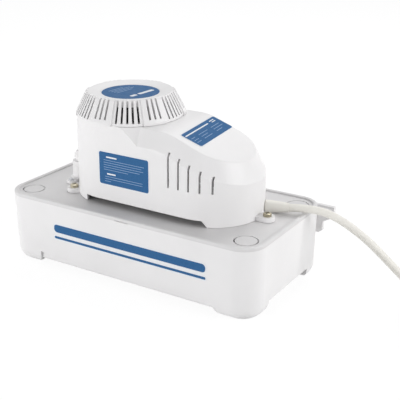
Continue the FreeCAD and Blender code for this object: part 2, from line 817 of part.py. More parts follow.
def hood_screws():
    """Pan-head cross-recessed screws through the hood's lugs into the lid."""
    pieces = []
    for index, (x, y) in enumerate(hood_lugs()):
        seat = HOOD_BASE + S.lug_height
        head = cylinder(f"hood_screw_head_{index}", 4.0, 2.4, x, y, seat)
        crown = cone(f"hood_screw_crown_{index}", 4.0, 2.6, 0.7, x, y, seat + 2.4)
        shank = cylinder(f"hood_screw_shank_{index}", 1.9, S.lug_height + 0.2, x, y, HOOD_BASE - 0.2)
        bars = [box(f"hood_cross_{index}_a", 5.0, 1.1, 3.0, x - 2.5, y - 0.55, seat + 1.5),
                box(f"hood_cross_{index}_b", 1.1, 5.0, 3.0, x - 0.55, y - 2.5, seat + 1.5)]
        form = fuse(f"hood_screw_form_{index}", [head, crown, shank])
        pieces.append(cut(f"hood_screw_{index}", form, bars))
    return sub_part("hood_screws", group("hood_screw_group", pieces))


# Vented cap

def vent_cap():
    """A hollow dished frustum of twelve bays: six raised with three slots, six flush with five."""
    low = HOOD_TOP + S.seat_gap
    top = low + S.cap_height
    plate = top - S.cap_dish - S.label_recess
    owner = revolved("cap_form", [
        (S.cap_base_radius - S.cap_wall, low), (S.cap_base_radius, low),
        (S.cap_base_radius, low + S.cap_band), (S.cap_top_radius, top - 1.2), (S.cap_top_radius - 1.2, top),
        (S.label_radius, top - S.cap_dish), (S.label_radius, plate), (0.0, plate),
        (0.0, plate - S.cap_wall), (S.cap_top_radius - S.cap_wall, plate - S.cap_wall),
        (S.cap_base_radius - S.cap_wall, low + S.cap_band)])
    bay = sketch_on(owner, "raised_bay", "XZ_Plane")
    outline(bay, [(S.cap_base_radius - 1, low), (S.cap_base_radius + S.cap_raise, low),
                  (S.cap_base_radius + S.cap_raise, low + S.cap_band),
                  (S.cap_top_radius + S.cap_raise, top - 0.9), (S.cap_top_radius + S.cap_raise - 0.9, top),
                  (S.cap_top_radius - 1.2, top)])
    raised = owner.newObject("PartDesign::Revolution", "raised_bay_turn")
    raised.Profile = bay
    raised.ReferenceAxis = (bay, ["V_Axis"])
    raised.Midplane = True
    bind(raised, "Angle", S.cap_bay_deg)
    DOC.recompute()
    spread(owner, [raised], 6)
    slots = sketch_on(owner, "cap_slots", offset=top + 1)
    for bay_middle, count in ((0, 3), (30, 5)):
        for index in range(count):
            angle = math.radians(bay_middle + (index - (count - 1) / 2) * float(S.cap_slot_deg))
            along = Vector(math.cos(angle), math.sin(angle), 0)
            across = Vector(-math.sin(angle), math.cos(angle), 0)
            half = float(S.cap_slot_width) / 2
            near, far = along * float(S.cap_slot_in), along * float(S.cap_slot_out)
            ring = [near - across * half, far - across * half, far + across * half, near + across * half]
            for first, second in zip(ring, ring[1:] + ring[:1]):
                slots.addGeometry(Part.LineSegment(first, second), False)
    DOC.recompute()
    one_bay = pocket(owner, slots)
    spread(owner, [one_bay], 6)
    lip = sketch_on(owner, "cap_lip", offset=low)
    circle(lip, S.cap_hole - S.seat_gap)
    circle(lip, S.cap_hole - S.seat_gap - 1.8)
    pad(owner, lip, S.cap_lip, reverse=True)
    brim = sketch_on(owner, "cap_brim", offset=low)
    circle(brim, S.cap_base_radius - 1.5)
    circle(brim, S.cap_hole - S.seat_gap - 1.8)
    pad(owner, brim, 1.4)
    place(owner, MOTOR_X, 0.0, 0.0, around_z(S.cap_turn_deg - 90))
    return sub_part("vent_cap", owner)


# Motor

def bolt_places():
    return [(x, y) for x in (-S.bolt_x, S.bolt_x) for y in (-S.bolt_y, S.bolt_y)]


def bracket(name, low, hub_low, spacer_low, spacer_high):
    """A bearing bracket: plate, hub for the bearing and spacers over the through screws."""
    owner = body(name)
    plate = sketch_on(owner, name + "_plate", offset=low)
    rounded_box(plate, 2 * S.bolt_x + 10, 2 * S.bolt_y + 10, 4.0)
    pad(owner, plate, S.bracket_plate)
    hub = sketch_on(owner, name + "_hub", offset=hub_low)
    circle(hub, S.bearing_radius + S.hub_wall)
    pad(owner, hub, S.bearing_length)
    spacers = sketch_on(owner, name + "_spacers", offset=spacer_low)
    for x, y in bolt_places():
        circle(spacers, S.post_radius, x, y)
    pad(owner, spacers, spacer_high - spacer_low)
    bores = sketch_on(owner, name + "_bores", offset=low)
    circle(bores, S.bearing_radius)
    for x, y in bolt_places():
        circle(bores, S.bolt_radius + 0.1, x, y)
    pocket(owner, bores, middle=True)
    windows = sketch_on(owner, name + "_windows", offset=low)
    for y in (-S.bolt_y, S.bolt_y):
        rounded_box(windows, 2 * S.bolt_x - 16, 7.0, 2.0, 0.0, y * 0.9)
    pocket(owner, windows, middle=True)
    place(owner, MOTOR_X)
    return sub_part(name, owner)


def stator():
    """A stack of laminations: rotor bore at one end, coil leg at the other, window between."""
    owner = body("stator_form")
    plan = sketch_on(owner, "stator_plan", offset=STATOR_LOW)
    rounded_box(plan, S.stator_left + S.stator_right, 2 * S.stator_half_width, 3.0,
                (S.stator_right - S.stator_left) / 2, 0.0)
    circle(plan, S.stator_bore)
    rounded_box(plan, S.window_far - S.window_near, 2 * S.window_half, 1.0,
                (S.window_far + S.window_near) / 2, 0.0)
    for x, y in bolt_places():
        circle(plan, S.bolt_radius + 0.1, x, y)
    pad(owner, plan, S.stator_stack)
    groove = sketch_on(owner, "lamination_marks", "XZ_Plane", offset=S.stator_half_width)
    for index in range(5):
        rounded_box(groove, S.stator_left + S.stator_right + 2, 0.7, 0.2,
                    (S.stator_right - S.stator_left) / 2, STATOR_LOW + S.stator_stack * (index + 1) / 6)
    pocket(owner, groove, 0.5)
    place(owner, MOTOR_X)
    return sub_part("stator", owner)


def leg_frame(name, y_low, y_high, outer_x, outer_z, inner_x, inner_z, radius):
    """A rectangular tube around the stator's coil leg."""
    owner = body(name)
    middle_x = (S.window_far + S.stator_right) / 2
    middle_z = STATOR_LOW + S.stator_stack / 2
    ring = sketch_on(owner, name + "_ring", "XZ_Plane", offset=-y_low)
    rounded_box(ring, outer_x, outer_z, radius, middle_x, middle_z)
    rounded_box(ring, inner_x, inner_z, 0.5, middle_x, middle_z)
    pad(owner, ring, y_high - y_low, reverse=True)
    return owner


def coil_bobbin():
    leg_x, leg_z = S.stator_right - S.window_far + 0.6, S.stator_stack + 0.6
    half = S.window_half - 0.3
    tube = leg_frame("bobbin_tube", -half, half, leg_x + 2.4, leg_z + 2.4, leg_x, leg_z, 1.2)
    ends = [leg_frame(f"bobbin_flange_{index}", low, low + 1.5, S.bobbin_width, S.bobbin_height,
                      leg_x, leg_z, 3.0)
            for index, low in enumerate((-half, half - 1.5))]
    return sub_part("coil_bobbin", place(fuse("bobbin_whole", [tube] + ends), MOTOR_X))


def motor_winding():
    leg_x, leg_z = S.stator_right - S.window_far + 0.6, S.stator_stack + 0.6
    half = S.window_half - 2.0
    coil = leg_frame("winding_form", -half, half, S.winding_width, S.winding_height, leg_x + 2.6, leg_z + 2.6,
                     S.winding_round)
    return sub_part("motor_winding", place(coil, MOTOR_X))


def shading_rings():
    """Copper loops round the corners of the poles, through slits beside the bore."""
    loops = []
    for index, side in enumerate((-1, 1)):
        frame = body(f"shading_{index}")
        wire = 1.6
        sketch = sketch_on(frame, f"shading_plan_{index}", offset=STATOR_LOW + S.stator_stack)
        rounded_box(sketch, 12.0, 9.0, 2.0, side * 12.0, side * (S.stator_bore + 5.0))
        rounded_box(sketch, 12.0 - 2 * wire, 9.0 - 2 * wire, 0.8, side * 12.0, side * (S.stator_bore + 5.0))
        pad(frame, sketch, wire)
        place(frame, MOTOR_X)
        loops.append(frame)
    return sub_part("shading_rings", group("shading_group", loops))


def bearing(name, low):
    owner = revolved(name + "_form", [
        (S.shaft_radius + S.shaft_gap, low), (S.bearing_radius, low),
        (S.bearing_radius, low + S.bearing_length), (S.shaft_radius + S.shaft_gap, low + S.bearing_length)])
    return sub_part(name, place(owner, MOTOR_X))


def motor_screws():
    """Four long screws from the upper bracket down into the lid's posts."""
    pieces = []
    seat = UPPER_BRACKET_Z + S.bracket_plate
    for index, (x, y) in enumerate(bolt_places()):
        shank = cylinder(f"motor_screw_shank_{index}", S.bolt_radius - 0.1, seat - LID_TOP - 2, MOTOR_X + x,
                         y, LID_TOP + 2)
        head = cylinder(f"motor_screw_head_{index}", 3.4, 2.2, MOTOR_X + x, y, seat)
        slot = box(f"motor_screw_slot_{index}", 7.0, 0.9, 2.0, MOTOR_X + x - 3.5, y - 0.45, seat + 1.2)
        pieces.append(cut(f"motor_screw_{index}", fuse(f"motor_screw_form_{index}", [shank, head]), [slot]))
    return sub_part("motor_screws", group("motor_screw_group", pieces))


# Rotor and what turns with it

def motor_shaft():
    tip = S.shaft_radius - 0.6
    owner = revolved("shaft_form", [
        (0.0, S.shaft_low), (tip, S.shaft_low), (S.shaft_radius, S.shaft_low + 0.6),
        (S.shaft_radius, SHAFT_TOP - 0.6), (tip, SHAFT_TOP), (0.0, SHAFT_TOP)])
    return sub_part("motor_shaft", place(owner, MOTOR_X))


def rotor_core():
    low, high = STATOR_LOW + 1, STATOR_LOW + S.stator_stack - 1
    bore, ring = S.shaft_radius, S.rotor_radius - 1.5
    owner = revolved("rotor_form", [
        (bore, low - 2), (ring, low - 2), (ring, low), (S.rotor_radius, low), (S.rotor_radius, high),
        (ring, high), (ring, high + 2), (bore, high + 2)])
    return sub_part("rotor_core", place(owner, MOTOR_X))


def cooling_fan():
    """Hub, back plate and curved blades that draw air down through the cap."""
    blades = 9
    owner = revolved("fan_form", [
        (S.shaft_radius, FAN_Z - 2), (7.0, FAN_Z - 2), (7.0, FAN_Z), (S.fan_radius, FAN_Z),
        (S.fan_radius, FAN_Z + 1.2), (9.0, FAN_Z + 1.2), (8.0, FAN_Z + S.fan_height),
        (S.shaft_radius, FAN_Z + S.fan_height)])
    blade = sketch_on(owner, "fan_blade", offset=FAN_Z + 1.0)
    sector(blade, 21.0, 22.2, -68, 18, 12.0, 18.0)
    feature = pad(owner, blade, S.fan_height - 1.6)
    spread(owner, [feature], blades)
    trim = sketch_on(owner, "fan_trim", offset=FAN_Z - 3)
    circle(trim, S.fan_radius)
    circle(trim, S.fan_radius + 20)
    pocket(owner, trim, reverse=True)
    return sub_part("cooling_fan", place(owner, MOTOR_X))


def slinger():
    low = LID_TOP + 7
    owner = revolved("slinger_form", [
        (S.shaft_radius, low), (10.0, low), (10.5, low + 1.2), (5.5, low + 2.0), (5.0, low + 5.0),
        (S.shaft_radius, low + 5.0)])
    return sub_part("slinger", place(owner, MOTOR_X))


def impeller():
    """An open disc with six swept vanes, hanging on the shaft's lower end."""
    vanes = 6
    base = IMPELLER_Z + S.impeller_height - 1.6
    owner = revolved("impeller_form", [
        (S.shaft_radius, IMPELLER_Z + 0.6), (6.0, IMPELLER_Z + 0.6), (6.5, base), (S.impeller_radius, base),
        (S.impeller_radius, base + 1.6), (S.shaft_radius, base + 1.6)])
    vane = sketch_on(owner, "impeller_vane", offset=IMPELLER_Z)
    sector(vane, 14.0, 15.6, -62, 50, 8.5, 10.5)
    feature = pad(owner, vane, S.impeller_height - 1.0)
    spread(owner, [feature], vanes)
    trim = sketch_on(owner, "impeller_trim", offset=IMPELLER_Z - 1)
    circle(trim, S.impeller_radius)
    circle(trim, S.impeller_radius + 20)
    pocket(owner, trim, reverse=True)
    return sub_part("impeller", place(owner, MOTOR_X))


# Pump housing and discharge

def housing_lugs():
    ring = S.volute_radius + 1.0
    return [(ring * math.cos(math.radians(a)), ring * math.sin(math.radians(a))) for a in (45, 135, 225, 315)]


def pump_housing():
    """The volute's cover in one moulding with the column that hangs from the lid."""
    low = S.volute_low + S.inlet_plate
    roof = VOLUTE_TOP
    cavity = S.volute_radius - S.volute_wall
    owner = revolved("housing_form", [
        (cavity, low), (S.volute_radius, low), (S.volute_radius, roof - 1.5), (S.volute_radius - 1.5, roof),
        (S.column_radius + 2, roof), (S.column_radius, roof + 3), (S.column_radius, S.rim_height - 3),
        (S.column_flange, S.rim_height - 3), (S.column_flange, S.rim_height), (S.column_bore, S.rim_height),
        (S.column_bore, roof + 1), (S.shaft_radius + 1.0, roof + 1),
        (S.shaft_radius + 1.0, roof - S.volute_roof), (cavity, roof - S.volute_roof)])
    lugs = sketch_on(owner, "housing_lugs", offset=low)
    for x, y in housing_lugs():
        circle(lugs, 4.0, x, y)
    pad(owner, lugs, S.volute_depth)
    threads = sketch_on(owner, "lug_threads", offset=low)
    for x, y in housing_lugs():
        circle(threads, S.bolt_radius, x, y)
    pocket(owner, threads, 8.0, reverse=True)
    screws = sketch_on(owner, "flange_holes", offset=S.rim_height)
    for angle in (90, 210, 330):
        turn = math.radians(angle)
        circle(screws, S.bolt_radius, S.column_screw_ring * math.cos(turn),
               S.column_screw_ring * math.sin(turn))
    pocket(owner, screws, 3.5)
    nipple = sketch_on(owner, "outlet_nipple", "YZ_Plane", offset=-S.volute_radius - 9)
    circle(nipple, S.riser_radius + 2.2, 0.0, OUTLET_Z)
    pad(owner, nipple, 12.0)
    flat = sketch_on(owner, "nipple_flat", offset=low)
    rounded_box(flat, 16.0, 20.0, 1.0, -S.volute_radius - 3, 0.0)
    pocket(owner, flat, 6.0)
    bore = sketch_on(owner, "outlet_bore", "YZ_Plane", offset=-S.volute_radius - 9)
    circle(bore, S.riser_radius + 0.1, 0.0, OUTLET_Z)
    pocket(owner, bore, 8.0, reverse=True)
    port = sketch_on(owner, "outlet_port", "YZ_Plane", offset=-S.volute_radius - 3)
    circle(port, S.riser_radius - S.riser_wall, 0.0, OUTLET_Z)
    pocket(owner, port, 9.0, reverse=True)
    return sub_part("pump_housing", place(owner, MOTOR_X))


def inlet_plate():
    """The volute's floor with its inlet and a ring of strainer slots on short feet."""
    owner = body("inlet_form")
    plan = sketch_on(owner, "inlet_plan", offset=S.volute_low)
    circle(plan, S.volute_radius)
    circle(plan, S.inlet_radius)
    pad(owner, plan, S.inlet_plate)
    lugs = sketch_on(owner, "inlet_lugs", offset=S.volute_low)
    for x, y in housing_lugs():
        circle(lugs, 4.0, x, y)
    pad(owner, lugs, S.inlet_plate)
    holes = sketch_on(owner, "inlet_screw_holes", offset=S.volute_low)
    for x, y in housing_lugs():
        circle(holes, S.bolt_radius, x, y)
    pocket(owner, holes, middle=True)
    feet = sketch_on(owner, "inlet_feet", offset=S.volute_low)
    for angle in range(0, 360, 45):
        turn = math.radians(angle)
        circle(feet, 1.5, 15.0 * math.cos(turn), 15.0 * math.sin(turn))
    pad(owner, feet, S.volute_low - TANK_FLOOR - S.seat_gap, reverse=True)
    return sub_part("inlet_plate", place(owner, MOTOR_X))


def small_screws(name, places, seat, length, radius=1.3, head=2.6, downward=True):
    """Round-head screws with a slot, all with heads at one height."""
    pieces = []
    for index, (x, y) in enumerate(places):
        shank_low = seat - length if downward else seat
        head_low = seat if downward else seat - 1.6
        shank = cylinder(f"{name}_shank_{index}", radius, length, x, y, shank_low)
        cap = cylinder(f"{name}_head_{index}", head, 1.6, x, y, head_low)
        slot_low = seat + 0.9 if downward else seat - 1.6
        slot = box(f"{name}_slot_{index}", 2 * head + 1, 0.7, 0.7, x - head - 0.5, y - 0.35, slot_low)
        pieces.append(cut(f"{name}_{index}", fuse(f"{name}_form_{index}", [shank, cap]), [slot]))
    return sub_part(name, group(name + "_group", pieces))


def column_places():
    turns = [math.radians(angle) for angle in (90, 210, 330)]
    ring = S.column_screw_ring
    return [(MOTOR_X + ring * math.cos(turn), ring * math.sin(turn)) for turn in turns]


def discharge_tube():
    """From the volute along the tank's floor, round a bend and up through the lid."""
    owner = body("discharge_form")
    start = MOTOR_X - S.volute_radius - 1.5
    top = LID_TOP + 3.5
    bend = float(S.riser_bend)
    path = sketch_on(owner, "discharge_path", "XZ_Plane")
    x, z = float(RISER_X), float(OUTLET_Z)
    path.addGeometry(Part.LineSegment(Vector(float(start), z, 0), Vector(x + bend, z, 0)), False)
    path.addGeometry(arc(x + bend, z + bend, bend, 180, 270), False)
    path.addGeometry(Part.LineSegment(Vector(x, z + bend, 0), Vector(x, float(top), 0)), False)
    ring = sketch_on(owner, "discharge_ring", "YZ_Plane", offset=start)
    circle(ring, S.riser_radius, 0.0, OUTLET_Z)
    circle(ring, S.riser_radius - S.riser_wall, 0.0, OUTLET_Z)
    DOC.recompute()
    pipe = owner.newObject("PartDesign::AdditivePipe", "discharge_sweep")
    pipe.Profile = ring
    pipe.Spine = path
    DOC.recompute()
    return sub_part("discharge_tube", owner)


def valve_body():
    """The check valve's body: socket for the tube, seat, chamber and two screw ears."""
    low = HOOD_BASE
    seat = low + 4.5
    top = low + S.valve_height
    socket = S.riser_radius + 0.1
    owner = revolved("valve_form", [
        (socket, low), (S.valve_radius + 2, low), (S.valve_radius + 2, low + 2.5),
        (S.valve_radius, low + 3.5), (S.valve_radius, top), (6.2, top), (6.2, seat + 2), (3.2, seat + 2),
        (3.2, seat - 1), (socket, seat - 1)])
    ears = sketch_on(owner, "valve_ears", offset=low)
    for side in (-1, 1):
        circle(ears, 4.5, 0.0, side * (S.valve_flange_y - 1))
    pad(owner, ears, 2.5)
    webs = sketch_on(owner, "valve_webs", offset=low)
    for side in (-1, 1):
        rounded_box(webs, 7.0, 7.0, 1.0, 0.0, side * (S.valve_radius + 3.5))
    pad(owner, webs, 2.5)
    holes = sketch_on(owner, "valve_ear_holes", offset=low)
    for side in (-1, 1):
        circle(holes, 1.6, 0.0, side * (S.valve_flange_y - 1))
    pocket(owner, holes, middle=True)
    return sub_part("valve_body", place(owner, RISER_X))


def valve_poppet():
    low = HOOD_BASE + 6.8
    owner = revolved("poppet_form", [
        (0.0, low - 3.0), (1.2, low - 3.0), (1.2, low - 0.6), (S.poppet_radius - 1, low - 0.05),
        (S.poppet_radius, low + 0.3), (S.poppet_radius, low + 1.3), (1.2, low + 1.3), (1.2, low + 3.3),
        (0.0, low + 3.3)])
    return sub_part("valve_poppet", place(owner, RISER_X))


def valve_spring():
    """A compression spring between the poppet and the outlet nut."""
    wire, turns = 0.4, 4
    low = HOOD_BASE + 6.8 + 1.3 + wire + 0.05
    high = HOOD_BASE + S.valve_height - wire - 0.05
    pitch = (high - low) / turns
    helix = Part.makeHelix(float(pitch), float(high - low), 3.6)
    corners = [Vector(3.6 + wire * math.cos(math.radians(a)), 0, wire * math.sin(math.radians(a)))
               for a in range(0, 361, 60)]
    section = Part.makePolygon(corners)
    spring = Part.Wire(helix).makePipeShell([section], True, True)
    thing = DOC.addObject("Part::Feature", "valve_spring_form")
    thing.Shape = spring
    return sub_part("valve_spring", place(thing, RISER_X, 0.0, low))


def barb_nut():
    """The hexagonal outlet nut with its barbed hose tail."""
    low = HOOD_BASE + S.valve_height
    bore = S.barb_radius - 1.4
    owner = revolved("barb_form", [
        (bore, low), (S.valve_radius - 0.5, low), (S.valve_radius - 0.5, low + 4.5),
        (S.barb_radius, low + 5.0), (S.barb_radius, low + 8.0), (S.barb_flare, low + 8.2),
        (S.barb_radius + 0.3, low + 11.2),
        (S.barb_flare - 0.3, low + 11.4), (S.barb_radius - 0.5, low + 14.6), (bore, low + 14.6)])
    hexagon = sketch_on(owner, "nut_hexagon", offset=low)
    reach = S.valve_radius + 0.6
    outline(hexagon, [(reach * math.cos(math.radians(a)), reach * math.sin(math.radians(a)))
                      for a in range(0, 360, 60)])
    circle(hexagon, bore + 1)
    pad(owner, hexagon, 4.0)
    return sub_part("barb_nut", place(owner, RISER_X))


# Float and push rod

def float_bracket():
    top = S.rim_height
    plate = box("float_bracket_plate", 20.0, 24.0, 2.5, S.pivot_x - 10, -12.0, top - 2.5)
    cheeks = [box(f"float_cheek_{index}", 12.0, 2.5, top - PIVOT_Z + 4, S.pivot_x - 6, y, PIVOT_Z - 4)
              for index, y in enumerate((-8.5, 6.0))]
    hole = cylinder("float_bracket_hole", S.pivot_pin_radius, 30.0, S.pivot_x, -15.0, PIVOT_Z, ALONG_Y)
    form = fuse("float_bracket_form", [plate] + cheeks)
    return sub_part("float_bracket", cut("float_bracket_whole", form, [hole]))


def float_pin():
    shank = cylinder("float_pin_shank", S.pivot_pin_radius, 18.6, S.pivot_x, -9.3, PIVOT_Z, ALONG_Y)
    head = cylinder("float_pin_head", S.pivot_pin_radius + 1, 0.8, S.pivot_x, 8.5, PIVOT_Z, ALONG_Y)
    return sub_part("float_pin", fuse("float_pin_form", [shank, head]))


def float_arm():
    """A flat lever from the pivot over the rod's foot and down to the float."""
    top = S.float_low + S.float_height
    owner = body("float_arm_form")
    profile = sketch_on(owner, "float_arm_profile", "XZ_Plane")
    outline(profile, [(S.pivot_x, PIVOT_Z - 3), (S.pivot_x + 18, PIVOT_Z - 3), (S.float_near + 2, top),
                      (S.float_near + S.arm_reach, top), (S.float_near + S.arm_reach, top + 3),
                      (S.float_near + 6, top + 3),
                      (S.rod_x + 6, PIVOT_Z + 2), (S.pivot_x, PIVOT_Z + 2)])
    pad(owner, profile, S.arm_width, middle=True)
    hub = sketch_on(owner, "float_arm_hub", "XZ_Plane")
    circle(hub, S.arm_hub, S.pivot_x, PIVOT_Z)
    pad(owner, hub, 11.4, middle=True)
    bore = sketch_on(owner, "float_arm_bore", "XZ_Plane")
    circle(bore, S.pivot_pin_radius + S.shaft_gap, S.pivot_x, PIVOT_Z)
    pocket(owner, bore, middle=True)
    return sub_part("float_arm", owner)


def float_block():
    owner = body("float_form")
    plan = sketch_on(owner, "float_plan", offset=S.float_low)
    rounded_box(plan, S.float_length, S.float_width, 8.0, S.float_near + S.float_length / 2, 0.0)
    pad(owner, plan, S.float_height)
    fillet(owner, 2.5, lambda middle, bounds: bounds.ZMax < S.float_low + 0.1)
    fillet(owner, 1.5, lambda middle, bounds: bounds.ZMin > S.float_low + S.float_height - 0.1)
    return sub_part("float", owner)


def push_rod():
    """A round-footed rod through the lid with a crossbar under both switch levers."""
    foot = PIVOT_Z + 2 + S.seat_gap
    shank = cylinder("rod_shank", S.rod_radius, ROD_TOP - foot - S.rod_radius, S.rod_x, 0.0,
                     foot + S.rod_radius)
    ball = DOC.addObject("Part::Sphere", "rod_foot")
    bind(ball, "Radius", S.rod_radius)
    place(ball, S.rod_x, 0.0, foot + S.rod_radius)
    reach = S.bracket_half + S.switch_width - 1
    bar = box("rod_bar", 6.0, 2 * reach, 3.0, S.rod_x - 3, -reach, ROD_TOP)
    return sub_part("push_rod", fuse("push_rod_form", [shank, ball, bar]))


# Switches

def micro_switch(name, side, lift):
    """A snap-action switch: case with ears for the lever's pin and a bore for its button."""
    low = SWITCH_LOW + lift
    near = S.bracket_half if side > 0 else -S.bracket_half - S.switch_width
    middle = near + S.switch_width / 2
    pivot_z = low - S.lever_drop
    case = box(f"{name}_case", S.switch_length, S.switch_width, S.switch_height, S.switch_x, near, low)
    ears = [box(f"{name}_ear_{index}", 5.0, 1.2, S.lever_drop + 2.5, S.lever_pivot_x - 2.5, y,
                low - S.lever_drop - 2.0)
            for index, y in enumerate((near + 0.2, near + S.switch_width - 1.4))]
    pin = cylinder(f"{name}_pin", 0.8, S.switch_width - 1, S.lever_pivot_x, near + 0.5, pivot_z, ALONG_Y)
    tabs = [box(f"{name}_tab_{index}", 0.8, 4.8, 6.0, S.switch_x + x, middle - 2.4, low + S.switch_height)
            for index, x in enumerate((4.0, 13.0, 22.0))]
    form = fuse(f"{name}_form", [case, pin] + ears + tabs)
    tools = [cylinder(f"{name}_button_bore", S.button_radius + S.seat_gap, 6.5, S.button_x, middle, low - 1)]
    hole_z = (SWITCH_LOW + S.switch_lift + SWITCH_LOW + S.switch_height) / 2
    for index, x in enumerate((5.0, 23.0)):
        tools.append(cylinder(f"{name}_hole_{index}", 1.5, S.switch_width + 2, S.switch_x + x, near - 1,
                              hole_z, ALONG_Y))
    return sub_part(name, cut(f"{name}_whole", form, tools))


def switch_lever(name, side, lift):
    near = S.bracket_half if side > 0 else -S.bracket_half - S.switch_width
    middle = near + S.switch_width / 2
    pivot_z = SWITCH_LOW + lift - S.lever_drop
    under = ROD_TOP + 3 + S.seat_gap + lift
    strip = box(f"{name}_strip", S.lever_pivot_x - 1.0 - (S.rod_x - 3), S.lever_width, S.lever_sheet,
                S.rod_x - 3, middle - S.lever_width / 2, under)
    knuckle = cylinder(f"{name}_knuckle", 2.0, S.lever_width, S.lever_pivot_x,
                       middle - S.lever_width / 2, pivot_z, ALONG_Y)
    bore = cylinder(f"{name}_bore", 0.86, S.lever_width + 2, S.lever_pivot_x, middle - S.lever_width / 2 - 1,
                    pivot_z, ALONG_Y)
    return sub_part(name, cut(f"{name}_whole", fuse(f"{name}_form", [strip, knuckle]), [bore]))


def switch_button(name, side, lift):
    middle = side * (S.bracket_half + S.switch_width / 2)
    low = ROD_TOP + 3 + S.seat_gap + S.lever_sheet + S.seat_gap + lift
    button = cylinder(f"{name}_form", S.button_radius, SWITCH_LOW + lift + 2.5 - low, S.button_x, middle, low)
    return sub_part(name, button)


def switch_bracket():
    low = LID_TOP
    top = SWITCH_LOW + S.switch_height + S.switch_lift - 2
    left = S.switch_x - 2
    plate = box("switch_plate", S.switch_length + 4, 2 * S.bracket_half, top - low, left,
                -S.bracket_half, low)
    foot = box("switch_foot", S.switch_length + 12, 18.0, 3.0, left - 4, -9.0, low)
    hole_z = (SWITCH_LOW + S.switch_lift + SWITCH_LOW + S.switch_height) / 2
    tools = [cylinder(f"switch_plate_hole_{index}", 1.5, 10.0, S.switch_x + x, -5.0, hole_z, ALONG_Y)
             for index, x in enumerate((5.0, 23.0))]
    form = fuse("switch_bracket_form", [plate, foot])
    return sub_part("switch_bracket", cut("switch_bracket_whole", form, tools))


def switch_screws():
    hole_z = (SWITCH_LOW + S.switch_lift + SWITCH_LOW + S.switch_height) / 2
    reach = S.bracket_half + S.switch_width
    pieces = []
    for index, x in enumerate((5.0, 23.0)):
        shank = cylinder(f"switch_screw_shank_{index}", 1.4, 2 * reach + 1, S.switch_x + x, -reach, hole_z,
                         ALONG_Y)
        head = cylinder(f"switch_screw_head_{index}", 2.6, 1.6, S.switch_x + x, -reach - 1.6, hole_z, ALONG_Y)
        pieces.append(fuse(f"switch_screw_{index}", [shank, head]))
    return sub_part("switch_screws", group("switch_screw_group", pieces))


def terminal_block():
    low = LID_TOP
    block = box("terminal_form", 26.0, 13.0, 11.0, 62.0, 17.0, low)
    wells = [cylinder(f"terminal_well_{index}", 2.2, 5.0, 67.0 + 8 * index, 23.5, low + 7)
             for index in range(3)]
    return sub_part("terminal_block", cut("terminal_whole", block, wells))


# Cord

def exit_direction():
    turn = math.radians(S.exit_deg)
    return math.cos(turn), math.sin(turn), 0.0


def strain_relief():
    """A tapered sleeve clamped in the nose's wall, its axis along the cord."""
    wall = S.hood_half - S.hood_wall - 3.0
    owner = revolved("relief_form", [
        (S.cord_radius, wall - 6), (6.0, wall - 6), (6.0, wall + 2.2), (5.0, wall + 2.2), (5.0, wall + 6.2),
        (6.0, wall + 6.2), (6.0, wall + 8.5), (4.5, S.hood_half + S.relief_length),
        (0.0, S.hood_half + S.relief_length), (0.0, wall - 2), (S.cord_radius, wall - 2)])
    turn = Rotation(Vector(0, 0, 1), Vector(*exit_direction()))
    owner.Placement = Placement(Vector(float(S.hood_nose_x), 0, float(EXIT_Z)), turn)
    return sub_part("strain_relief", owner)


def cord_route():
    """Hand-chosen points of the cord's lie, from the relief's end to the coil."""
    dx, dy, dz = exit_direction()
    reach = S.hood_half + S.relief_length
    start = (float(S.hood_nose_x + dx * reach), float(dy * reach), float(EXIT_Z))
    floor = float(S.coil_low + S.coil_pitch / 2)
    drop = float(EXIT_Z) - floor
    falling = [(149.0, 32.6, 1.0234), (172.0, 39.2, 0.8928), (195.0, 45.5, 0.666), (213.0, 51.0, 0.4186),
               (231.0, 56.0, 0.1711)]
    points = [start] + [(x, y, floor + share * drop) for x, y, share in falling]
    return points + [(250.0, float(S.lead_y), floor), (float(S.lead_end), float(S.lead_y), floor)]


def tangent_arc_wire(name, points):
    """Straight runs joined by tangent arcs as large as the runs allow."""
    points = [Vector(*point) for point in points]
    edges, here = [], points[0]
    for before, corner, after in zip(points, points[1:], points[2:]):
        into, out = (corner - before), (after - corner)
        shorter = min(into.Length, out.Length)
        into.normalize()
        out.normalize()
        turn = into.getAngle(out)
        reach = 0.45 * shorter
        radius = reach / math.tan(turn / 2)
        start, end = corner - into * reach, corner + out * reach
        inward = (out - into).normalize()
        middle = corner + inward * (radius / math.cos(turn / 2) - radius)
        edges += [Part.LineSegment(here, start).toShape(), Part.Arc(start, middle, end).toShape()]
        here = end
        print(f"{name} arc radius {radius:.1f}")
    edges.append(Part.LineSegment(here, points[-1]).toShape())
    return Part.Wire(edges)


def cord_tube(name, points):
    """A round tube of the cord's size along a route."""
    path = tangent_arc_wire(name, points)
    first = Vector(*points[1]) - Vector(*points[0])
    section = Part.Wire([Part.Circle(Vector(*points[0]), first, float(S.cord_radius)).toShape()])
    tube = path.makePipeShell([section], True, False)
    expected = math.pi * S.cord_radius ** 2 * path.Length
    print(f"{name} length {path.Length:.1f} volume {tube.Volume:.0f} expected {expected:.0f}")
    thing = DOC.addObject("Part::Feature", name + "_form")
    thing.Shape = tube
    return sub_part(name, thing)


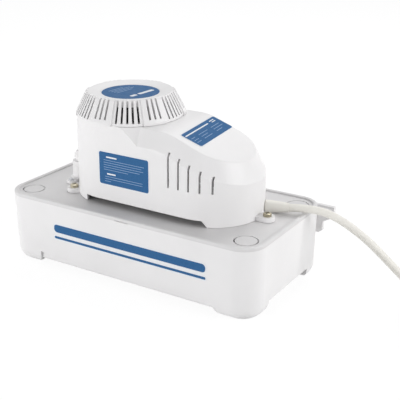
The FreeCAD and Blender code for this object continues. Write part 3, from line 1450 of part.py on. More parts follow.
def cord_coil():
    """The outer shape of the put-away turns, with the stubs where the lead runs in and out."""
    half = 1.5 * S.coil_pitch
    inner, outer = S.coil_middle - half, S.coil_middle + half
    low, high, soft = S.coil_low, S.coil_low + 2 * S.coil_pitch, 3.0
    ring = revolved("coil_ring", [
        (inner, low + soft), (inner + soft, low), (outer - soft, low), (outer, low + soft),
        (outer, high - soft), (outer - soft, high), (inner + soft, high), (inner, high - soft)])
    place(ring, S.coil_x, COIL_Y)
    lead_in = cylinder("coil_lead_in", S.cord_radius, S.coil_x - S.lead_end, S.lead_end, S.lead_y,
                       S.coil_low + S.coil_pitch / 2, ALONG_X)
    lead_out = cylinder("coil_lead_out", S.cord_radius, S.plug_reach, S.coil_x + S.coil_middle + S.coil_pitch,
                        COIL_Y - S.plug_reach, S.coil_low + 1.5 * S.coil_pitch, ALONG_Y)
    return sub_part("cord_coil", fuse("coil_whole", [ring, lead_in, lead_out]))


def cord_tie():
    """A flat strap closed round the coil's section."""
    height, width = 2 * (S.coil_pitch + S.coil_low), 3 * S.coil_pitch + 2 * S.coil_low
    strap = box("tie_outer", width, 6.0, height, S.coil_x - S.coil_middle - width / 2, COIL_Y - 3, 0.0)
    slack = 0.2
    gap = box("tie_inner", 3 * S.coil_pitch + 2 * slack, 8.0, 2 * (S.coil_pitch + slack),
              S.coil_x - S.coil_middle - 1.5 * S.coil_pitch - slack, COIL_Y - 4, S.coil_low - slack)
    return sub_part("cord_tie", cut("tie_whole", strap, [gap]))


def plug_body():
    """A moulded plug lying beside the coil: tapered sleeve, waist, grip and flared face."""
    owner = body("plug_form")
    grip = sketch_on(owner, "plug_grip", "YZ_Plane", offset=14.0)
    rounded_box(grip, 24.0, 22.0, 6.0)
    pad(owner, grip, 24.0)
    waist = sketch_on(owner, "plug_waist", "YZ_Plane", offset=14.0)
    rounded_box(waist, 17.0, 16.0, 5.0)
    pad(owner, waist, 4.0, reverse=True)
    face = sketch_on(owner, "plug_face", "YZ_Plane", offset=36.0)
    rounded_box(face, 27.0, 23.6, 7.0)
    pad(owner, face, 4.0)
    sleeve = sketch_on(owner, "plug_sleeve", "YZ_Plane", offset=10.0)
    circle(sleeve, 6.0)
    pad(owner, sleeve, 10.0, taper=-9.0, reverse=True)
    return sub_part("plug_body", place(owner, *PLUG_MOUTH, around_z(-90)))


def plug_blades():
    x, y, z = PLUG_MOUTH
    blades = [box(f"blade_{index}", 1.5, 16.0, 6.4, x + side * 6.35 - 0.75, y - 56, z - 1)
              for index, side in enumerate((-1, 1))]
    return sub_part("plug_blades", group("blade_group", blades))


def earth_pin():
    x, y, z = PLUG_MOUTH
    return sub_part("earth_pin", cylinder("earth_form", 2.4, 18.0, x, y - 58, z - 6, ALONG_Y))


def build():
    tank()
    lid()
    hood()
    hood_screws()
    vent_cap()
    bracket("lower_bracket", POST_TOP, POST_TOP, POST_TOP, STATOR_LOW)
    bracket("upper_bracket", UPPER_BRACKET_Z, UPPER_BRACKET_Z - S.bearing_length + S.bracket_plate,
            STATOR_LOW + S.stator_stack, UPPER_BRACKET_Z)
    stator()
    coil_bobbin()
    motor_winding()
    shading_rings()
    bearing("lower_bearing", POST_TOP)
    bearing("upper_bearing", UPPER_BRACKET_Z - S.bearing_length + S.bracket_plate)
    motor_screws()
    motor_shaft()
    rotor_core()
    cooling_fan()
    slinger()
    impeller()
    pump_housing()
    inlet_plate()
    small_screws("inlet_screws", [(MOTOR_X + x, y) for x, y in housing_lugs()], S.volute_low, 8.0,
                 downward=False)
    small_screws("column_screws", column_places(), LID_TOP, S.lid_plate + 3.0)
    discharge_tube()
    valve_body()
    small_screws("valve_screws", [(RISER_X, side * (S.valve_flange_y - 1)) for side in (-1, 1)],
                 HOOD_BASE + 2.5, 2.4)
    valve_poppet()
    valve_spring()
    barb_nut()
    float_bracket()
    float_pin()
    float_arm()
    float_block()
    push_rod()
    for name, side, lift in (("run", -1, Size(0.0)), ("safety", 1, S.switch_lift)):
        micro_switch(name + "_switch", side, lift)
        switch_lever(name + "_lever", side, lift)
        switch_button(name + "_button", side, lift)
    switch_bracket()
    switch_screws()
    terminal_block()
    strain_relief()
    cord_tube("power_cord", cord_route())
    cord_coil()
    cord_tie()
    plug_body()
    plug_blades()
    earth_pin()


def write():
    """Checks every object and writes each sub-part to its own file."""
    DOC.recompute()
    broken = [thing.Name for thing in DOC.Objects if {"Invalid", "Error"} & set(thing.State)]
    broken += [name for name, thing in PARTS.items() if thing.Shape.isNull() or not thing.Shape.isValid()]
    if broken:
        raise RuntimeError(f"failed: {broken}")
    os.makedirs("parts", exist_ok=True)
    for name, thing in PARTS.items():
        thing.Shape.exportStep(f"parts/{name}.step")
        print(f"{name}: {len(thing.Shape.Solids)} solids, {thing.Shape.Volume:.0f} mm3")


build()
write()
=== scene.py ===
import json
import math

import bpy
from mathutils import Matrix, Vector


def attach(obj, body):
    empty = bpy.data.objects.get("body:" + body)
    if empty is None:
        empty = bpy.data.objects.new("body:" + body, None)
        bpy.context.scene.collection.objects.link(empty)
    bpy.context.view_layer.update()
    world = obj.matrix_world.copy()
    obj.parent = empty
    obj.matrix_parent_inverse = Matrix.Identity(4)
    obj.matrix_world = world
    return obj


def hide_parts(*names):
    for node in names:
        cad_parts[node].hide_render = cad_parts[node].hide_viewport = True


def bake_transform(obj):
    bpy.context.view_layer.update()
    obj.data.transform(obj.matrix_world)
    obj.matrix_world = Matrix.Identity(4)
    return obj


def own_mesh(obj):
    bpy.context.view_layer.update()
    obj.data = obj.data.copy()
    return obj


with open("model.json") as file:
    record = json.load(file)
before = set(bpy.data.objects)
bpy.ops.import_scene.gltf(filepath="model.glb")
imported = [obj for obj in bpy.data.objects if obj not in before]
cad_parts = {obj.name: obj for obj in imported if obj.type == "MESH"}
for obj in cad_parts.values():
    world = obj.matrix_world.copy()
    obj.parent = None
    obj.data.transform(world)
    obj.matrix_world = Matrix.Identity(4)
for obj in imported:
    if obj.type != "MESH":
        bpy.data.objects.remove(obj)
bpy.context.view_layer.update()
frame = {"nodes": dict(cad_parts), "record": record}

# A condensate tank pump: camera, mains lead, finishes, valve spring, printed plates, coil tie and studio.
# Metres, +Z up, the front of the tank faces -Y.

MM = 0.001
LEAD_RADIUS = 0.0037
COIL_CENTRE = (0.307, 0.0065)
LOWER_LAYER = 4.55
LAYER_PITCH = 7.5
MOTOR_X = -0.035
HOOD_BASE = 0.0713
HOOD_HALF = 0.0488
HOOD_DRAFT = 0.8
HOOD_TOP = 0.1505
SLOPE_X = 0.031
SLOPE = 20.3
TANK_HALF = 0.071
TANK_RIM = 0.069
TANK_DRAFT = 1.0
CAP_PLATE = 0.1705
FILM = 0.00025
INK = 0.00004


# Camera

def camera():
    data = bpy.data.cameras.new("studio_camera")
    data.lens = 77.5
    data.sensor_width = 36.0
    eye = bpy.data.objects.new("studio_camera", data)
    bpy.context.scene.collection.objects.link(eye)
    eye.location = (0.4468, -0.6447, 0.3711)
    looking = Vector((0.0430, 0.0, 0.0761)) - eye.location
    eye.rotation_euler = looking.to_track_quat("-Z", "Y").to_euler()
    bpy.context.scene.camera = eye


# Mains lead

# Its points are in millimetres until MM makes them metres, and so are LOWER_LAYER and LAYER_PITCH.

def coil_radius(turn):
    """Radius of the put-away turns: out, middle, in on the lower layer, then back out on the upper."""
    steps = [(300, 51.5), (360, 44.0), (660, 44.0), (720, 36.5), (1260, 36.5), (1320, 44.0), (1620, 44.0),
             (1680, 51.5), (1890, 51.5)]
    before = (0, 51.5)
    for after in steps:
        if turn <= after[0]:
            share = (turn - before[0]) / (after[0] - before[0])
            return before[1] + (after[1] - before[1]) * share
        before = after
    return steps[-1][1]


def lead_points():
    """The lead's lie from the strain relief over the tank's corner to the floor, its coil and its plug."""
    falling = [(124.53, 24.22, 77.3), (149.0, 32.6, 79.0), (172.0, 39.2, 69.5), (195.0, 45.5, 53.0),
               (213.0, 51.0, 35.0), (231.0, 56.0, 17.0), (250.0, 58.0, LOWER_LAYER),
               (271.0, 58.0, LOWER_LAYER)]
    points = [Vector(point) * MM for point in falling]
    step = 22.5
    all_turns = 1890
    layer_climb = 960
    outward = 1 / math.cos(math.radians(step / 2))
    for index in range(int(all_turns / step) + 1):
        turn = index * step
        reach = coil_radius(turn) * outward * MM
        height = (LOWER_LAYER + LAYER_PITCH * min(max((turn - layer_climb) / 60, 0.0), 1.0)) * MM
        angle = math.radians(turn)
        points.append(Vector((COIL_CENTRE[0] + reach * math.sin(angle),
                              COIL_CENTRE[1] + reach * math.cos(angle), height)))
    for reach_y in (-8.0, -22.5):
        points.append(Vector((358.5, reach_y, 12.05)) * MM)
    return points


def lead_curve(name, points, radius):
    """A smooth round curve with the points as its control points."""
    data = bpy.data.curves.new(name, "CURVE")
    data.dimensions = "3D"
    spline = data.splines.new("NURBS")
    spline.points.add(len(points) - 1)
    for knot, point in zip(spline.points, points):
        knot.co = (*point, 1.0)
    spline.order_u = 3
    spline.use_endpoint_u = True
    data.resolution_u = 8
    data.bevel_depth = radius
    data.bevel_resolution = 4
    data.use_fill_caps = radius > 0
    curve = bpy.data.objects.new(name, data)
    bpy.context.scene.collection.objects.link(curve)
    return curve


def mesh_from(curve, name):
    """The curve's mesh as an object of its own, and the curve is removed."""
    bpy.context.view_layer.update()
    seen = curve.evaluated_get(bpy.context.evaluated_depsgraph_get())
    data = bpy.data.meshes.new_from_object(seen)
    bpy.data.objects.remove(curve)
    piece = bpy.data.objects.new(name, data)
    bpy.context.scene.collection.objects.link(piece)
    return piece


def mains_lead(jacket):
    """The mains lead, which bends between the cover and the floor."""
    points = lead_points()
    line = mesh_from(lead_curve("lead_line", points, 0.0), "lead_line")
    bpy.data.objects.remove(line)
    lead = mesh_from(lead_curve("lead_round", points, LEAD_RADIUS), "mains_lead")
    lead.data.materials.append(jacket)
    for face in lead.data.polygons:
        face.use_smooth = True
    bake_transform(lead)
    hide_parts("power_cord", "cord_coil")


# Finishes

class Finish:
    """A node material on a Principled shader whose patterns read Object coordinates."""

    def __init__(self, name, metallic=0.0, ior=1.46, sheen=0.0):
        self.material = bpy.data.materials.new(name)
        self.material.use_nodes = True
        self.nodes = self.material.node_tree.nodes
        self.links = self.material.node_tree.links
        self.shader = self.nodes["Principled BSDF"]
        self.shader.inputs["Metallic"].default_value = metallic
        self.shader.inputs["IOR"].default_value = ior
        self.shader.inputs["Sheen Weight"].default_value = sheen
        self.place = self.nodes.new("ShaderNodeTexCoord").outputs["Object"]

    def stretched(self, scale):
        """Object coordinates drawn out or pressed along each axis."""
        mapping = self.nodes.new("ShaderNodeMapping")
        mapping.inputs["Scale"].default_value = scale
        self.links.new(self.place, mapping.inputs["Vector"])
        return mapping.outputs["Vector"]

    def noise(self, scale, detail=2.0, roughness=0.5, place=None):
        node = self.nodes.new("ShaderNodeTexNoise")
        node.inputs["Scale"].default_value = scale
        node.inputs["Detail"].default_value = detail
        node.inputs["Roughness"].default_value = roughness
        self.links.new(place or self.place, node.inputs["Vector"])
        return node.outputs["Fac"]

    def bands(self, scale, direction, distortion):
        node = self.nodes.new("ShaderNodeTexWave")
        node.wave_type = "BANDS"
        node.bands_direction = direction
        node.inputs["Scale"].default_value = scale
        node.inputs["Distortion"].default_value = distortion
        self.links.new(self.place, node.inputs["Vector"])
        return node.outputs["Fac"]

    def mixed(self, pattern, low, high, span=(0.3, 0.7)):
        """A colour that runs from low to high as the pattern does."""
        ramp = self.nodes.new("ShaderNodeValToRGB")
        ramp.color_ramp.elements[0].position = span[0]
        ramp.color_ramp.elements[0].color = (*low, 1.0)
        ramp.color_ramp.elements[1].position = span[1]
        ramp.color_ramp.elements[1].color = (*high, 1.0)
        self.links.new(pattern, ramp.inputs["Fac"])
        return ramp.outputs["Color"]

    def ranged(self, pattern, low, high, span=(0.3, 0.7)):
        """A number that runs from low to high as the pattern does."""
        node = self.nodes.new("ShaderNodeMapRange")
        node.inputs["From Min"].default_value = span[0]
        node.inputs["From Max"].default_value = span[1]
        node.inputs["To Min"].default_value = low
        node.inputs["To Max"].default_value = high
        self.links.new(pattern, node.inputs["Value"])
        return node.outputs["Result"]

    def summed(self, first, second, share):
        """The first pattern with a share of the second added."""
        node = self.nodes.new("ShaderNodeMath")
        node.operation = "MULTIPLY_ADD"
        self.links.new(second, node.inputs[0])
        node.inputs[1].default_value = share
        self.links.new(first, node.inputs[2])
        return node.outputs["Value"]

    def colour(self, socket):
        self.links.new(socket, self.shader.inputs["Base Color"])

    def rough(self, socket):
        self.links.new(socket, self.shader.inputs["Roughness"])

    def bump(self, height, distance, strength=0.5):
        node = self.nodes.new("ShaderNodeBump")
        node.inputs["Strength"].default_value = strength
        node.inputs["Distance"].default_value = distance
        self.links.new(height, node.inputs["Height"])
        self.links.new(node.outputs["Normal"], self.shader.inputs["Normal"])


def moulded(name, low, high, roughness=(0.34, 0.46), grain=1500.0, depth=0.00003):
    """Injection-moulded plastic: a faint cloud in its colour and a fine spark-eroded grain."""
    finish = Finish(name)
    cloud = finish.noise(14.0, 3.0)
    speck = finish.noise(grain, 2.0)
    finish.colour(finish.mixed(finish.summed(cloud, speck, 0.12), low, high, (0.36, 0.76)))
    finish.rough(finish.ranged(finish.noise(grain * 0.1, 3.0), *roughness))
    finish.bump(speck, depth)
    return finish.material


def metal(name, low, high, roughness, stretch=(1, 1, 1), scale=700.0, depth=0.00002):
    """Worked metal: tool marks drawn along one way and a cloud of tarnish."""
    finish = Finish(name, metallic=1.0, ior=1.5)
    marks = finish.noise(scale, 3.0, 0.6, finish.stretched(stretch))
    tarnish = finish.noise(60.0, 4.0, 0.6)
    finish.colour(finish.mixed(tarnish, low, high))
    finish.rough(finish.ranged(finish.summed(marks, tarnish, 0.5), *roughness, span=(0.5, 1.0)))
    finish.bump(marks, depth)
    return finish.material


def lamination_steel():
    finish = Finish("lamination_steel", metallic=0.85, ior=1.5)
    sheets = finish.bands(480.0, "Z", 0.2)
    oil = finish.noise(45.0, 4.0, 0.6)
    finish.colour(finish.mixed(finish.summed(oil, sheets, 0.35), (0.10, 0.105, 0.115),
                               (0.30, 0.305, 0.31), (0.4, 0.9)))
    finish.rough(finish.ranged(oil, 0.38, 0.6))
    finish.bump(sheets, 0.00008, 0.6)
    return finish.material


def winding_tape():
    finish = Finish("winding_tape", ior=1.5)
    laps = finish.bands(42.0, "Y", 1.2)
    weave = finish.noise(900.0, 2.0)
    finish.colour(finish.mixed(finish.summed(laps, weave, 0.3), (0.32, 0.20, 0.06),
                               (0.62, 0.44, 0.16), (0.2, 1.1)))
    finish.rough(finish.ranged(weave, 0.35, 0.55))
    finish.bump(laps, 0.0002, 0.6)
    return finish.material


def copper_wire():
    finish = Finish("copper", metallic=1.0, ior=1.5)
    drawn = finish.bands(300.0, "Z", 2.0)
    patina = finish.noise(90.0, 4.0)
    finish.colour(finish.mixed(patina, (0.60, 0.24, 0.13), (0.86, 0.42, 0.25)))
    finish.rough(finish.ranged(patina, 0.24, 0.42))
    finish.bump(drawn, 0.00004, 0.4)
    return finish.material


def foam_float():
    finish = Finish("foam_float", ior=1.4)
    cells = finish.nodes.new("ShaderNodeTexVoronoi")
    cells.inputs["Scale"].default_value = 550.0
    finish.links.new(finish.place, cells.inputs["Vector"])
    skin = finish.noise(30.0, 3.0)
    finish.colour(finish.mixed(finish.summed(skin, cells.outputs["Distance"], 0.4), (0.52, 0.51, 0.48),
                               (0.72, 0.71, 0.67), (0.4, 0.9)))
    finish.rough(finish.ranged(skin, 0.7, 0.9))
    finish.bump(cells.outputs["Distance"], 0.0002, 0.7)
    return finish.material


def cord_jacket():
    finish = Finish("cord_jacket", ior=1.48, sheen=0.05)
    cloud = finish.noise(22.0, 3.0)
    skin = finish.noise(1400.0, 2.0)
    finish.colour(finish.mixed(finish.summed(cloud, skin, 0.15), (0.77, 0.75, 0.695), (0.84, 0.82, 0.77),
                               (0.38, 0.8)))
    finish.rough(finish.ranged(finish.noise(160.0, 2.0), 0.42, 0.55))
    finish.bump(skin, 0.00004)
    return finish.material


def printed_film(name, low, high):
    """Screen-printed satin film with a faint orange peel."""
    finish = Finish(name, ior=1.4)
    finish.shader.inputs["Specular IOR Level"].default_value = 0.08
    ink = finish.noise(900.0, 3.0)
    peel = finish.noise(260.0, 2.0)
    finish.colour(finish.mixed(ink, low, high))
    finish.rough(finish.ranged(peel, 0.44, 0.56))
    finish.bump(peel, 0.00002, 0.4)
    return finish.material


def finishes():
    """Every finish of the pump by its slot name."""
    return {
        "white_plastic": moulded("white_plastic", (0.775, 0.765, 0.765), (0.825, 0.815, 0.815)),
        # lid_plastic: the same white plastic as the hood and tank, painted darker as painted shade on the lid
        # around the hood
        "lid_plastic": moulded("lid_plastic", (0.65, 0.64, 0.64), (0.695, 0.685, 0.685), (0.38, 0.5)),
        "brass": metal("brass", (0.32, 0.29, 0.21), (0.58, 0.53, 0.41), (0.20, 0.36), (1, 1, 4)),
        "cast_alloy": metal("cast_alloy", (0.36, 0.36, 0.37), (0.52, 0.52, 0.53), (0.45, 0.62),
                            scale=500.0, depth=0.00008),
        "lamination_steel": lamination_steel(),
        "dark_plastic": moulded("dark_plastic", (0.016, 0.016, 0.018), (0.030, 0.030, 0.032), (0.4, 0.55)),
        "winding_tape": winding_tape(),
        "copper": copper_wire(),
        "bronze": metal("bronze", (0.30, 0.19, 0.09), (0.50, 0.33, 0.17), (0.4, 0.6),
                        scale=1200.0, depth=0.00005),
        "zinc_steel": metal("zinc_steel", (0.52, 0.53, 0.55), (0.70, 0.71, 0.72), (0.28, 0.42), (1, 1, 3)),
        "shaft_steel": metal("shaft_steel", (0.55, 0.55, 0.56), (0.72, 0.72, 0.73), (0.14, 0.28), (1, 1, 12)),
        "rubber": moulded("rubber", (0.020, 0.020, 0.021), (0.042, 0.042, 0.044), (0.6, 0.8), 800.0, 0.00006),
        "grey_plastic": moulded("grey_plastic", (0.26, 0.265, 0.27), (0.33, 0.335, 0.34), (0.38, 0.52)),
        "foam_float": foam_float(),
        "cord_jacket": cord_jacket(),
        "label_blue": printed_film("label_blue", (0.034, 0.118, 0.268), (0.044, 0.138, 0.308)),
        "label_pale": printed_film("label_pale", (0.74, 0.77, 0.81), (0.81, 0.83, 0.86)),
        "label_mist": printed_film("label_mist", (0.22, 0.34, 0.53), (0.29, 0.41, 0.60)),
    }


def dress_nodes(made):
    """Each CAD node keeps its shape and takes the finish of its record slot."""
    slot_of = {entry["node"]: entry["material_slot"] for entry in frame["record"]["subparts"]}
    for name, thing in frame["nodes"].items():
        finish = made[slot_of[name]]
        if not thing.material_slots:
            thing.data.materials.append(finish)
        for held in thing.material_slots:
            held.material = finish


# Check valve's spring

def check_spring(made):
    """The check valve's spring, which shortens against the outlet nut as its poppet lifts; here a fixed,
    smooth-shaded copy of the CAD spring.
    """
    spring = frame["nodes"]["valve_spring"].copy()
    spring.data = spring.data.copy()
    spring.name = "check_spring"
    spring.parent = None
    bpy.context.scene.collection.objects.link(spring)
    bpy.ops.object.select_all(action="DESELECT")
    spring.select_set(True)
    bpy.context.view_layer.objects.active = spring
    bpy.ops.object.mode_set(mode="EDIT")
    bpy.ops.mesh.select_all(action="SELECT")
    bpy.ops.mesh.remove_doubles(threshold=0.000001)
    bpy.ops.object.mode_set(mode="OBJECT")
    bpy.ops.object.shade_smooth_by_angle(angle=math.radians(40))
    for held in spring.material_slots:
        held.material = made["shaft_steel"]
    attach(spring, "cover")
    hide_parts("valve_spring")
    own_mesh(spring)


# Printed plates

def new_piece(name, inks):
    """A flat piece begun as a unit square on the origin, open in edit mode."""
    bpy.ops.object.select_all(action="DESELECT")
    bpy.ops.mesh.primitive_plane_add(size=1.0)
    piece = bpy.context.object
    piece.name = name
    for ink in inks:
        piece.data.materials.append(ink)
    bpy.ops.object.mode_set(mode="EDIT")
    return piece


def film(piece, border):
    """Raises the open face to a film with a pale border round its coloured field."""
    bpy.ops.mesh.extrude_region_move(TRANSFORM_OT_translate={"value": (0.0, 0.0, FILM)})
    bpy.ops.mesh.inset(thickness=border)
    piece.active_material_index = 1
    bpy.ops.object.material_slot_assign()
    bpy.ops.mesh.select_all(action="SELECT")
    bpy.ops.mesh.normals_make_consistent(inside=False)
    bpy.ops.object.mode_set(mode="OBJECT")
    return piece


def plate(name, width, height, corner, border, inks):
    """A film with rounded corners."""
    piece = new_piece(name, inks)
    bpy.ops.transform.resize(value=(width, height, 1.0))
    bpy.ops.mesh.bevel(offset=corner, segments=6, affect="VERTICES")
    return film(piece, border)


def disc(name, radius, border, inks):
    """A round film."""
    piece = new_piece(name, inks)
    bpy.ops.mesh.delete(type="VERT")
    bpy.ops.mesh.primitive_circle_add(vertices=96, radius=radius, fill_type="NGON")
    return film(piece, border)


def rules(name, rows, ink):
    """Plain printed rules on a plate: each row is its left end, its height, its length and its thickness."""
    piece = new_piece(name, [ink])
    bpy.ops.mesh.delete(type="VERT")
    for left, height, length, thickness in rows:
        bpy.ops.mesh.select_all(action="DESELECT")
        bpy.ops.mesh.primitive_plane_add(size=1.0)
        bpy.ops.transform.resize(value=(length, thickness, 1.0))
        bpy.ops.mesh.bevel(offset=thickness * 0.3, segments=2, affect="VERTICES")
        bpy.ops.transform.translate(value=(left + length / 2, height, FILM))
    bpy.ops.mesh.select_all(action="SELECT")
    bpy.ops.mesh.extrude_region_move(TRANSFORM_OT_translate={"value": (0.0, 0.0, INK)})
    bpy.ops.mesh.select_all(action="SELECT")
    bpy.ops.mesh.normals_make_consistent(inside=False)
    bpy.ops.object.mode_set(mode="OBJECT")
    return piece


def set_down(piece, stand, body):
    """Lays a finished flat piece on its face of the object, with its place in its mesh."""
    piece.matrix_world = stand
    bpy.ops.object.select_all(action="DESELECT")
    piece.select_set(True)
    bpy.context.view_layer.objects.active = piece
    bpy.ops.object.transform_apply(location=True, rotation=True, scale=True)
    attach(piece, body)


def print_rows(left, top, lengths, pitch, thickness):
    """Rows of one thickness, one below the other from the top."""
    return [(left, top - index * pitch, length, thickness) for index, length in enumerate(lengths)]


def front_label(made):
    """The large plate on the hood's front wall, with two blocks of plain rules."""
    middle = -0.0096
    height = 0.1088
    pitch = 0.00227
    out = HOOD_HALF - (height - HOOD_BASE) * math.tan(math.radians(HOOD_DRAFT))
    lean = Matrix.Rotation(math.radians(90 - HOOD_DRAFT), 4, "X")
    stand = Matrix.Translation((middle, -out, height)) @ lean
    inks = [made["label_pale"], made["label_blue"]]
    set_down(plate("front_label", 0.0576, 0.0330, 0.0028, 0.0008, inks), stand, "cover")
    left = -0.0228
    heads = [(left + 0.0031, 0.0111, 0.0120, 0.0014), (left + 0.0036, -0.0051, 0.0100, 0.0014)]
    set_down(rules("front_label_heads", heads, made["label_pale"]), stand, "cover")
    rows = print_rows(left, 0.0080, (0.046, 0.043, 0.045, 0.041, 0.028), pitch, 0.0005)
    rows += print_rows(left + 0.001, -0.0079, (0.043, 0.043, 0.007), pitch, 0.0005)
    set_down(rules("front_label_rows", rows, made["label_mist"]), stand, "cover")


def slope_label(made):
    """The plate on the hood's slope, turned a little, as it is stuck on."""
    down = math.radians(SLOPE)
    along = 0.01875
    place = Vector((SLOPE_X + along * math.cos(down), 0.0038, HOOD_TOP - along * math.sin(down)))
    turn = Matrix.Rotation(math.radians(94.5), 4, "Z")
    stand = Matrix.Translation(place) @ Matrix.Rotation(down, 4, "Y") @ turn
    inks = [made["label_pale"], made["label_blue"]]
    set_down(plate("slope_label", 0.0652, 0.0238, 0.0026, 0.0008, inks), stand, "cover")
    heads = [(-0.0298, 0.0068, 0.0430, 0.0014), (0.0180, 0.0080, 0.0085, 0.0009),
             (0.0195, 0.0058, 0.0070, 0.0009)]
    set_down(rules("slope_label_heads", heads, made["label_pale"]), stand, "cover")
    rows = []
    for left, lengths in ((-0.0290, (0.0070, 0.0085, 0.0075)), (-0.0150, (0.0170, 0.0120, 0.0150)),
                          (0.0090, (0.0160, 0.0180, 0.0110))):
        rows += print_rows(left, 0.0012, lengths, 0.0033, 0.0006)
    set_down(rules("slope_label_rows", rows, made["label_mist"]), stand, "cover")


def cap_label(made):
    """The round plate in the cap's recess."""
    stand = Matrix.Translation((MOTOR_X, 0.0, CAP_PLATE)) @ Matrix.Rotation(math.radians(84), 4, "Z")
    inks = [made["label_pale"], made["label_blue"]]
    set_down(disc("cap_label", 0.0281, 0.0005, inks), stand, "cover")
    heads = [(-0.0130, -0.0120, 0.0080, 0.0044), (-0.0020, -0.0120, 0.0210, 0.0044)]
    set_down(rules("cap_label_heads", heads, made["label_pale"]), stand, "cover")
    rows = print_rows(-0.0120, 0.0175, (0.020, 0.026, 0.028, 0.022), 0.0036, 0.0009)
    set_down(rules("cap_label_rows", rows, made["label_mist"]), stand, "cover")


def tank_band(made):
    """Two printed stripes along the tank's front."""
    middle = 0.007
    length = 0.174
    inks = [made["label_pale"], made["label_blue"]]
    for name, height, width in (("tank_band", 0.0455, 0.0106), ("tank_line", 0.0360, 0.0050)):
        out = TANK_HALF - (TANK_RIM - height) * math.tan(math.radians(TANK_DRAFT))
        lean = Matrix.Rotation(math.radians(90 + TANK_DRAFT), 4, "X")
        stand = Matrix.Translation((middle, -out, height)) @ lean
        set_down(plate(name, length, width, width * 0.45, 0.0012, inks), stand, "reservoir")


# Tie round the coil

def pick_faces(piece, wanted):
    """Selects the faces whose normal and middle the test wants, in edit mode."""
    bpy.ops.object.mode_set(mode="OBJECT")
    for face in piece.data.polygons:
        face.select = wanted(face.normal, face.center)
    bpy.ops.object.mode_set(mode="EDIT")


def coil_tie(made):
    """A flat strap pulled tight round the coil's strands, with its head on top."""
    width = 0.0052
    middle = COIL_CENTRE[0] - 0.044
    level = 0.0083
    strands = [(-7.5, -3.75), (0.0, -3.75), (7.5, 0.0), (0.0, 3.75), (-7.5, 3.75)]
    strap = new_piece("coil_tie", [made["dark_plastic"]])
    bpy.ops.mesh.delete(type="VERT")
    bpy.ops.mesh.select_mode(type="FACE")
    for across, up in strands:
        bpy.ops.mesh.primitive_cylinder_add(vertices=28, radius=LEAD_RADIUS + 0.00005, depth=width,
                                            location=(middle + across * MM, COIL_CENTRE[1], level + up * MM),
                                            rotation=(math.pi / 2, 0, 0))
    bpy.ops.mesh.select_all(action="SELECT")
    bpy.ops.mesh.convex_hull()
    bpy.ops.mesh.select_all(action="SELECT")
    bpy.ops.mesh.remove_doubles(threshold=0.00002)
    bpy.ops.mesh.normals_make_consistent(inside=False)
    pick_faces(strap, lambda normal, centre: abs(normal.y) > 0.9)
    bpy.ops.mesh.delete(type="FACE")
    bpy.ops.object.mode_set(mode="OBJECT")
    wall = strap.modifiers.new("wall", "SOLIDIFY")
    wall.thickness = 0.0008
    wall.offset = 1.0
    edge = strap.modifiers.new("edge", "BEVEL")
    edge.width = 0.00018
    edge.segments = 2
    edge.angle_limit = math.radians(50)
    for modifier in ("wall", "edge"):
        bpy.ops.object.modifier_apply(modifier=modifier)
    bpy.ops.object.mode_set(mode="EDIT")
    for size, place in (((0.0046, 0.0068, 0.0030), (middle - 0.004, 0.0177)),
                        ((0.0095, 0.0036, 0.0009), (middle - 0.0105, 0.0180))):
        bpy.ops.mesh.select_all(action="DESELECT")
        bpy.ops.mesh.primitive_cube_add(size=1.0)
        bpy.ops.transform.resize(value=size)
        bpy.ops.mesh.bevel(offset=min(size) * 0.3, segments=3, affect="EDGES")
        bpy.ops.transform.translate(value=(place[0], COIL_CENTRE[1], place[1]))
    bpy.ops.mesh.select_mode(type="VERT")
    bpy.ops.object.mode_set(mode="OBJECT")
    bpy.ops.object.shade_smooth_by_angle(angle=math.radians(35))
    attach(strap, "reservoir")
    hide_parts("cord_tie")


# Studio

def seen_ray(nodes, links):
    """One where a ray is the camera's, or a mirrored or refracted one."""
    ray = nodes.new("ShaderNodeLightPath")
    either = nodes.new("ShaderNodeMath")
    either.operation = "MAXIMUM"
    links.new(ray.outputs["Is Camera Ray"], either.inputs[0])
    links.new(ray.outputs["Is Glossy Ray"], either.inputs[1])
    any_of = nodes.new("ShaderNodeMath")
    any_of.operation = "MAXIMUM"
    links.new(either.outputs["Value"], any_of.inputs[0])
    links.new(ray.outputs["Is Transmission Ray"], any_of.inputs[1])
    return any_of.outputs["Value"]


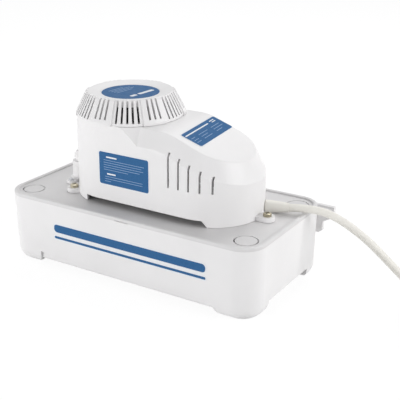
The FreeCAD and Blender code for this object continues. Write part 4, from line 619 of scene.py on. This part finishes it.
def studio():
    """A matt floor that keeps the object's shadow and glows white to the camera."""
    bpy.ops.object.select_all(action="DESELECT")
    bpy.ops.mesh.primitive_plane_add(size=6.0, location=(0.1, 0.0, -0.0003))
    floor = bpy.context.object
    floor.name = "studio_floor"
    material = bpy.data.materials.new("studio_floor")
    material.use_nodes = True
    nodes, links = material.node_tree.nodes, material.node_tree.links
    nodes.clear()
    output = nodes.new("ShaderNodeOutputMaterial")
    matt = nodes.new("ShaderNodeBsdfDiffuse")
    matt.inputs["Color"].default_value = (0.80, 0.80, 0.80, 1.0)
    glow = nodes.new("ShaderNodeEmission")
    glow.inputs["Strength"].default_value = 1.06
    seen = seen_ray(nodes, links)
    share = nodes.new("ShaderNodeMath")
    share.operation = "MULTIPLY"
    share.inputs[1].default_value = 0.88
    links.new(seen, share.inputs[0])
    mix = nodes.new("ShaderNodeMixShader")
    links.new(share.outputs["Value"], mix.inputs["Fac"])
    links.new(matt.outputs["BSDF"], mix.inputs[1])
    links.new(glow.outputs["Emission"], mix.inputs[2])
    links.new(mix.outputs["Shader"], output.inputs["Surface"])
    floor.data.materials.append(material)


def sky():
    """A soft dim light from all round, seen as white."""
    world = bpy.data.worlds.new("studio_sky")
    bpy.context.scene.world = world
    world.use_nodes = True
    nodes, links = world.node_tree.nodes, world.node_tree.links
    nodes.clear()
    output = nodes.new("ShaderNodeOutputWorld")
    dim = nodes.new("ShaderNodeBackground")
    white = nodes.new("ShaderNodeBackground")
    dim.inputs["Color"].default_value = (0.97, 0.98, 1.0, 1.0)
    dim.inputs["Strength"].default_value = 0.39
    white.inputs["Color"].default_value = (1.0, 1.0, 1.0, 1.0)
    white.inputs["Strength"].default_value = 1.0
    mix = nodes.new("ShaderNodeMixShader")
    links.new(seen_ray(nodes, links), mix.inputs["Fac"])
    links.new(dim.outputs["Background"], mix.inputs[1])
    links.new(white.outputs["Background"], mix.inputs[2])
    links.new(mix.outputs["Shader"], output.inputs["Surface"])


def lamp(name, place, aim, size, power):
    data = bpy.data.lights.new(name, "AREA")
    data.shape = "RECTANGLE"
    data.size, data.size_y = size
    data.energy = power
    thing = bpy.data.objects.new(name, data)
    bpy.context.scene.collection.objects.link(thing)
    thing.location = place
    thing.rotation_euler = (Vector(aim) - Vector(place)).to_track_quat("-Z", "Y").to_euler()


def lamps():
    lamp("key_lamp", (1.65, 0.15, 0.66), (0.05, 0.0, 0.08), (1.1, 0.8), 17.0)
    lamp("fill_lamp", (-1.0, -1.6, 0.32), (0.0, 0.0, 0.08), (1.3, 0.6), 20.2)
    lamp("back_lamp", (-0.3, 0.95, 1.45), (0.0, 0.0, 0.08), (1.2, 1.0), 11.0)


camera()
made = finishes()
coil_tie(made)
mains_lead(made["cord_jacket"])
dress_nodes(made)
check_spring(made)
front_label(made)
slope_label(made)
cap_label(made)
tank_band(made)
studio()
sky()
lamps()
bpy.context.scene.view_settings.view_transform = "Standard"
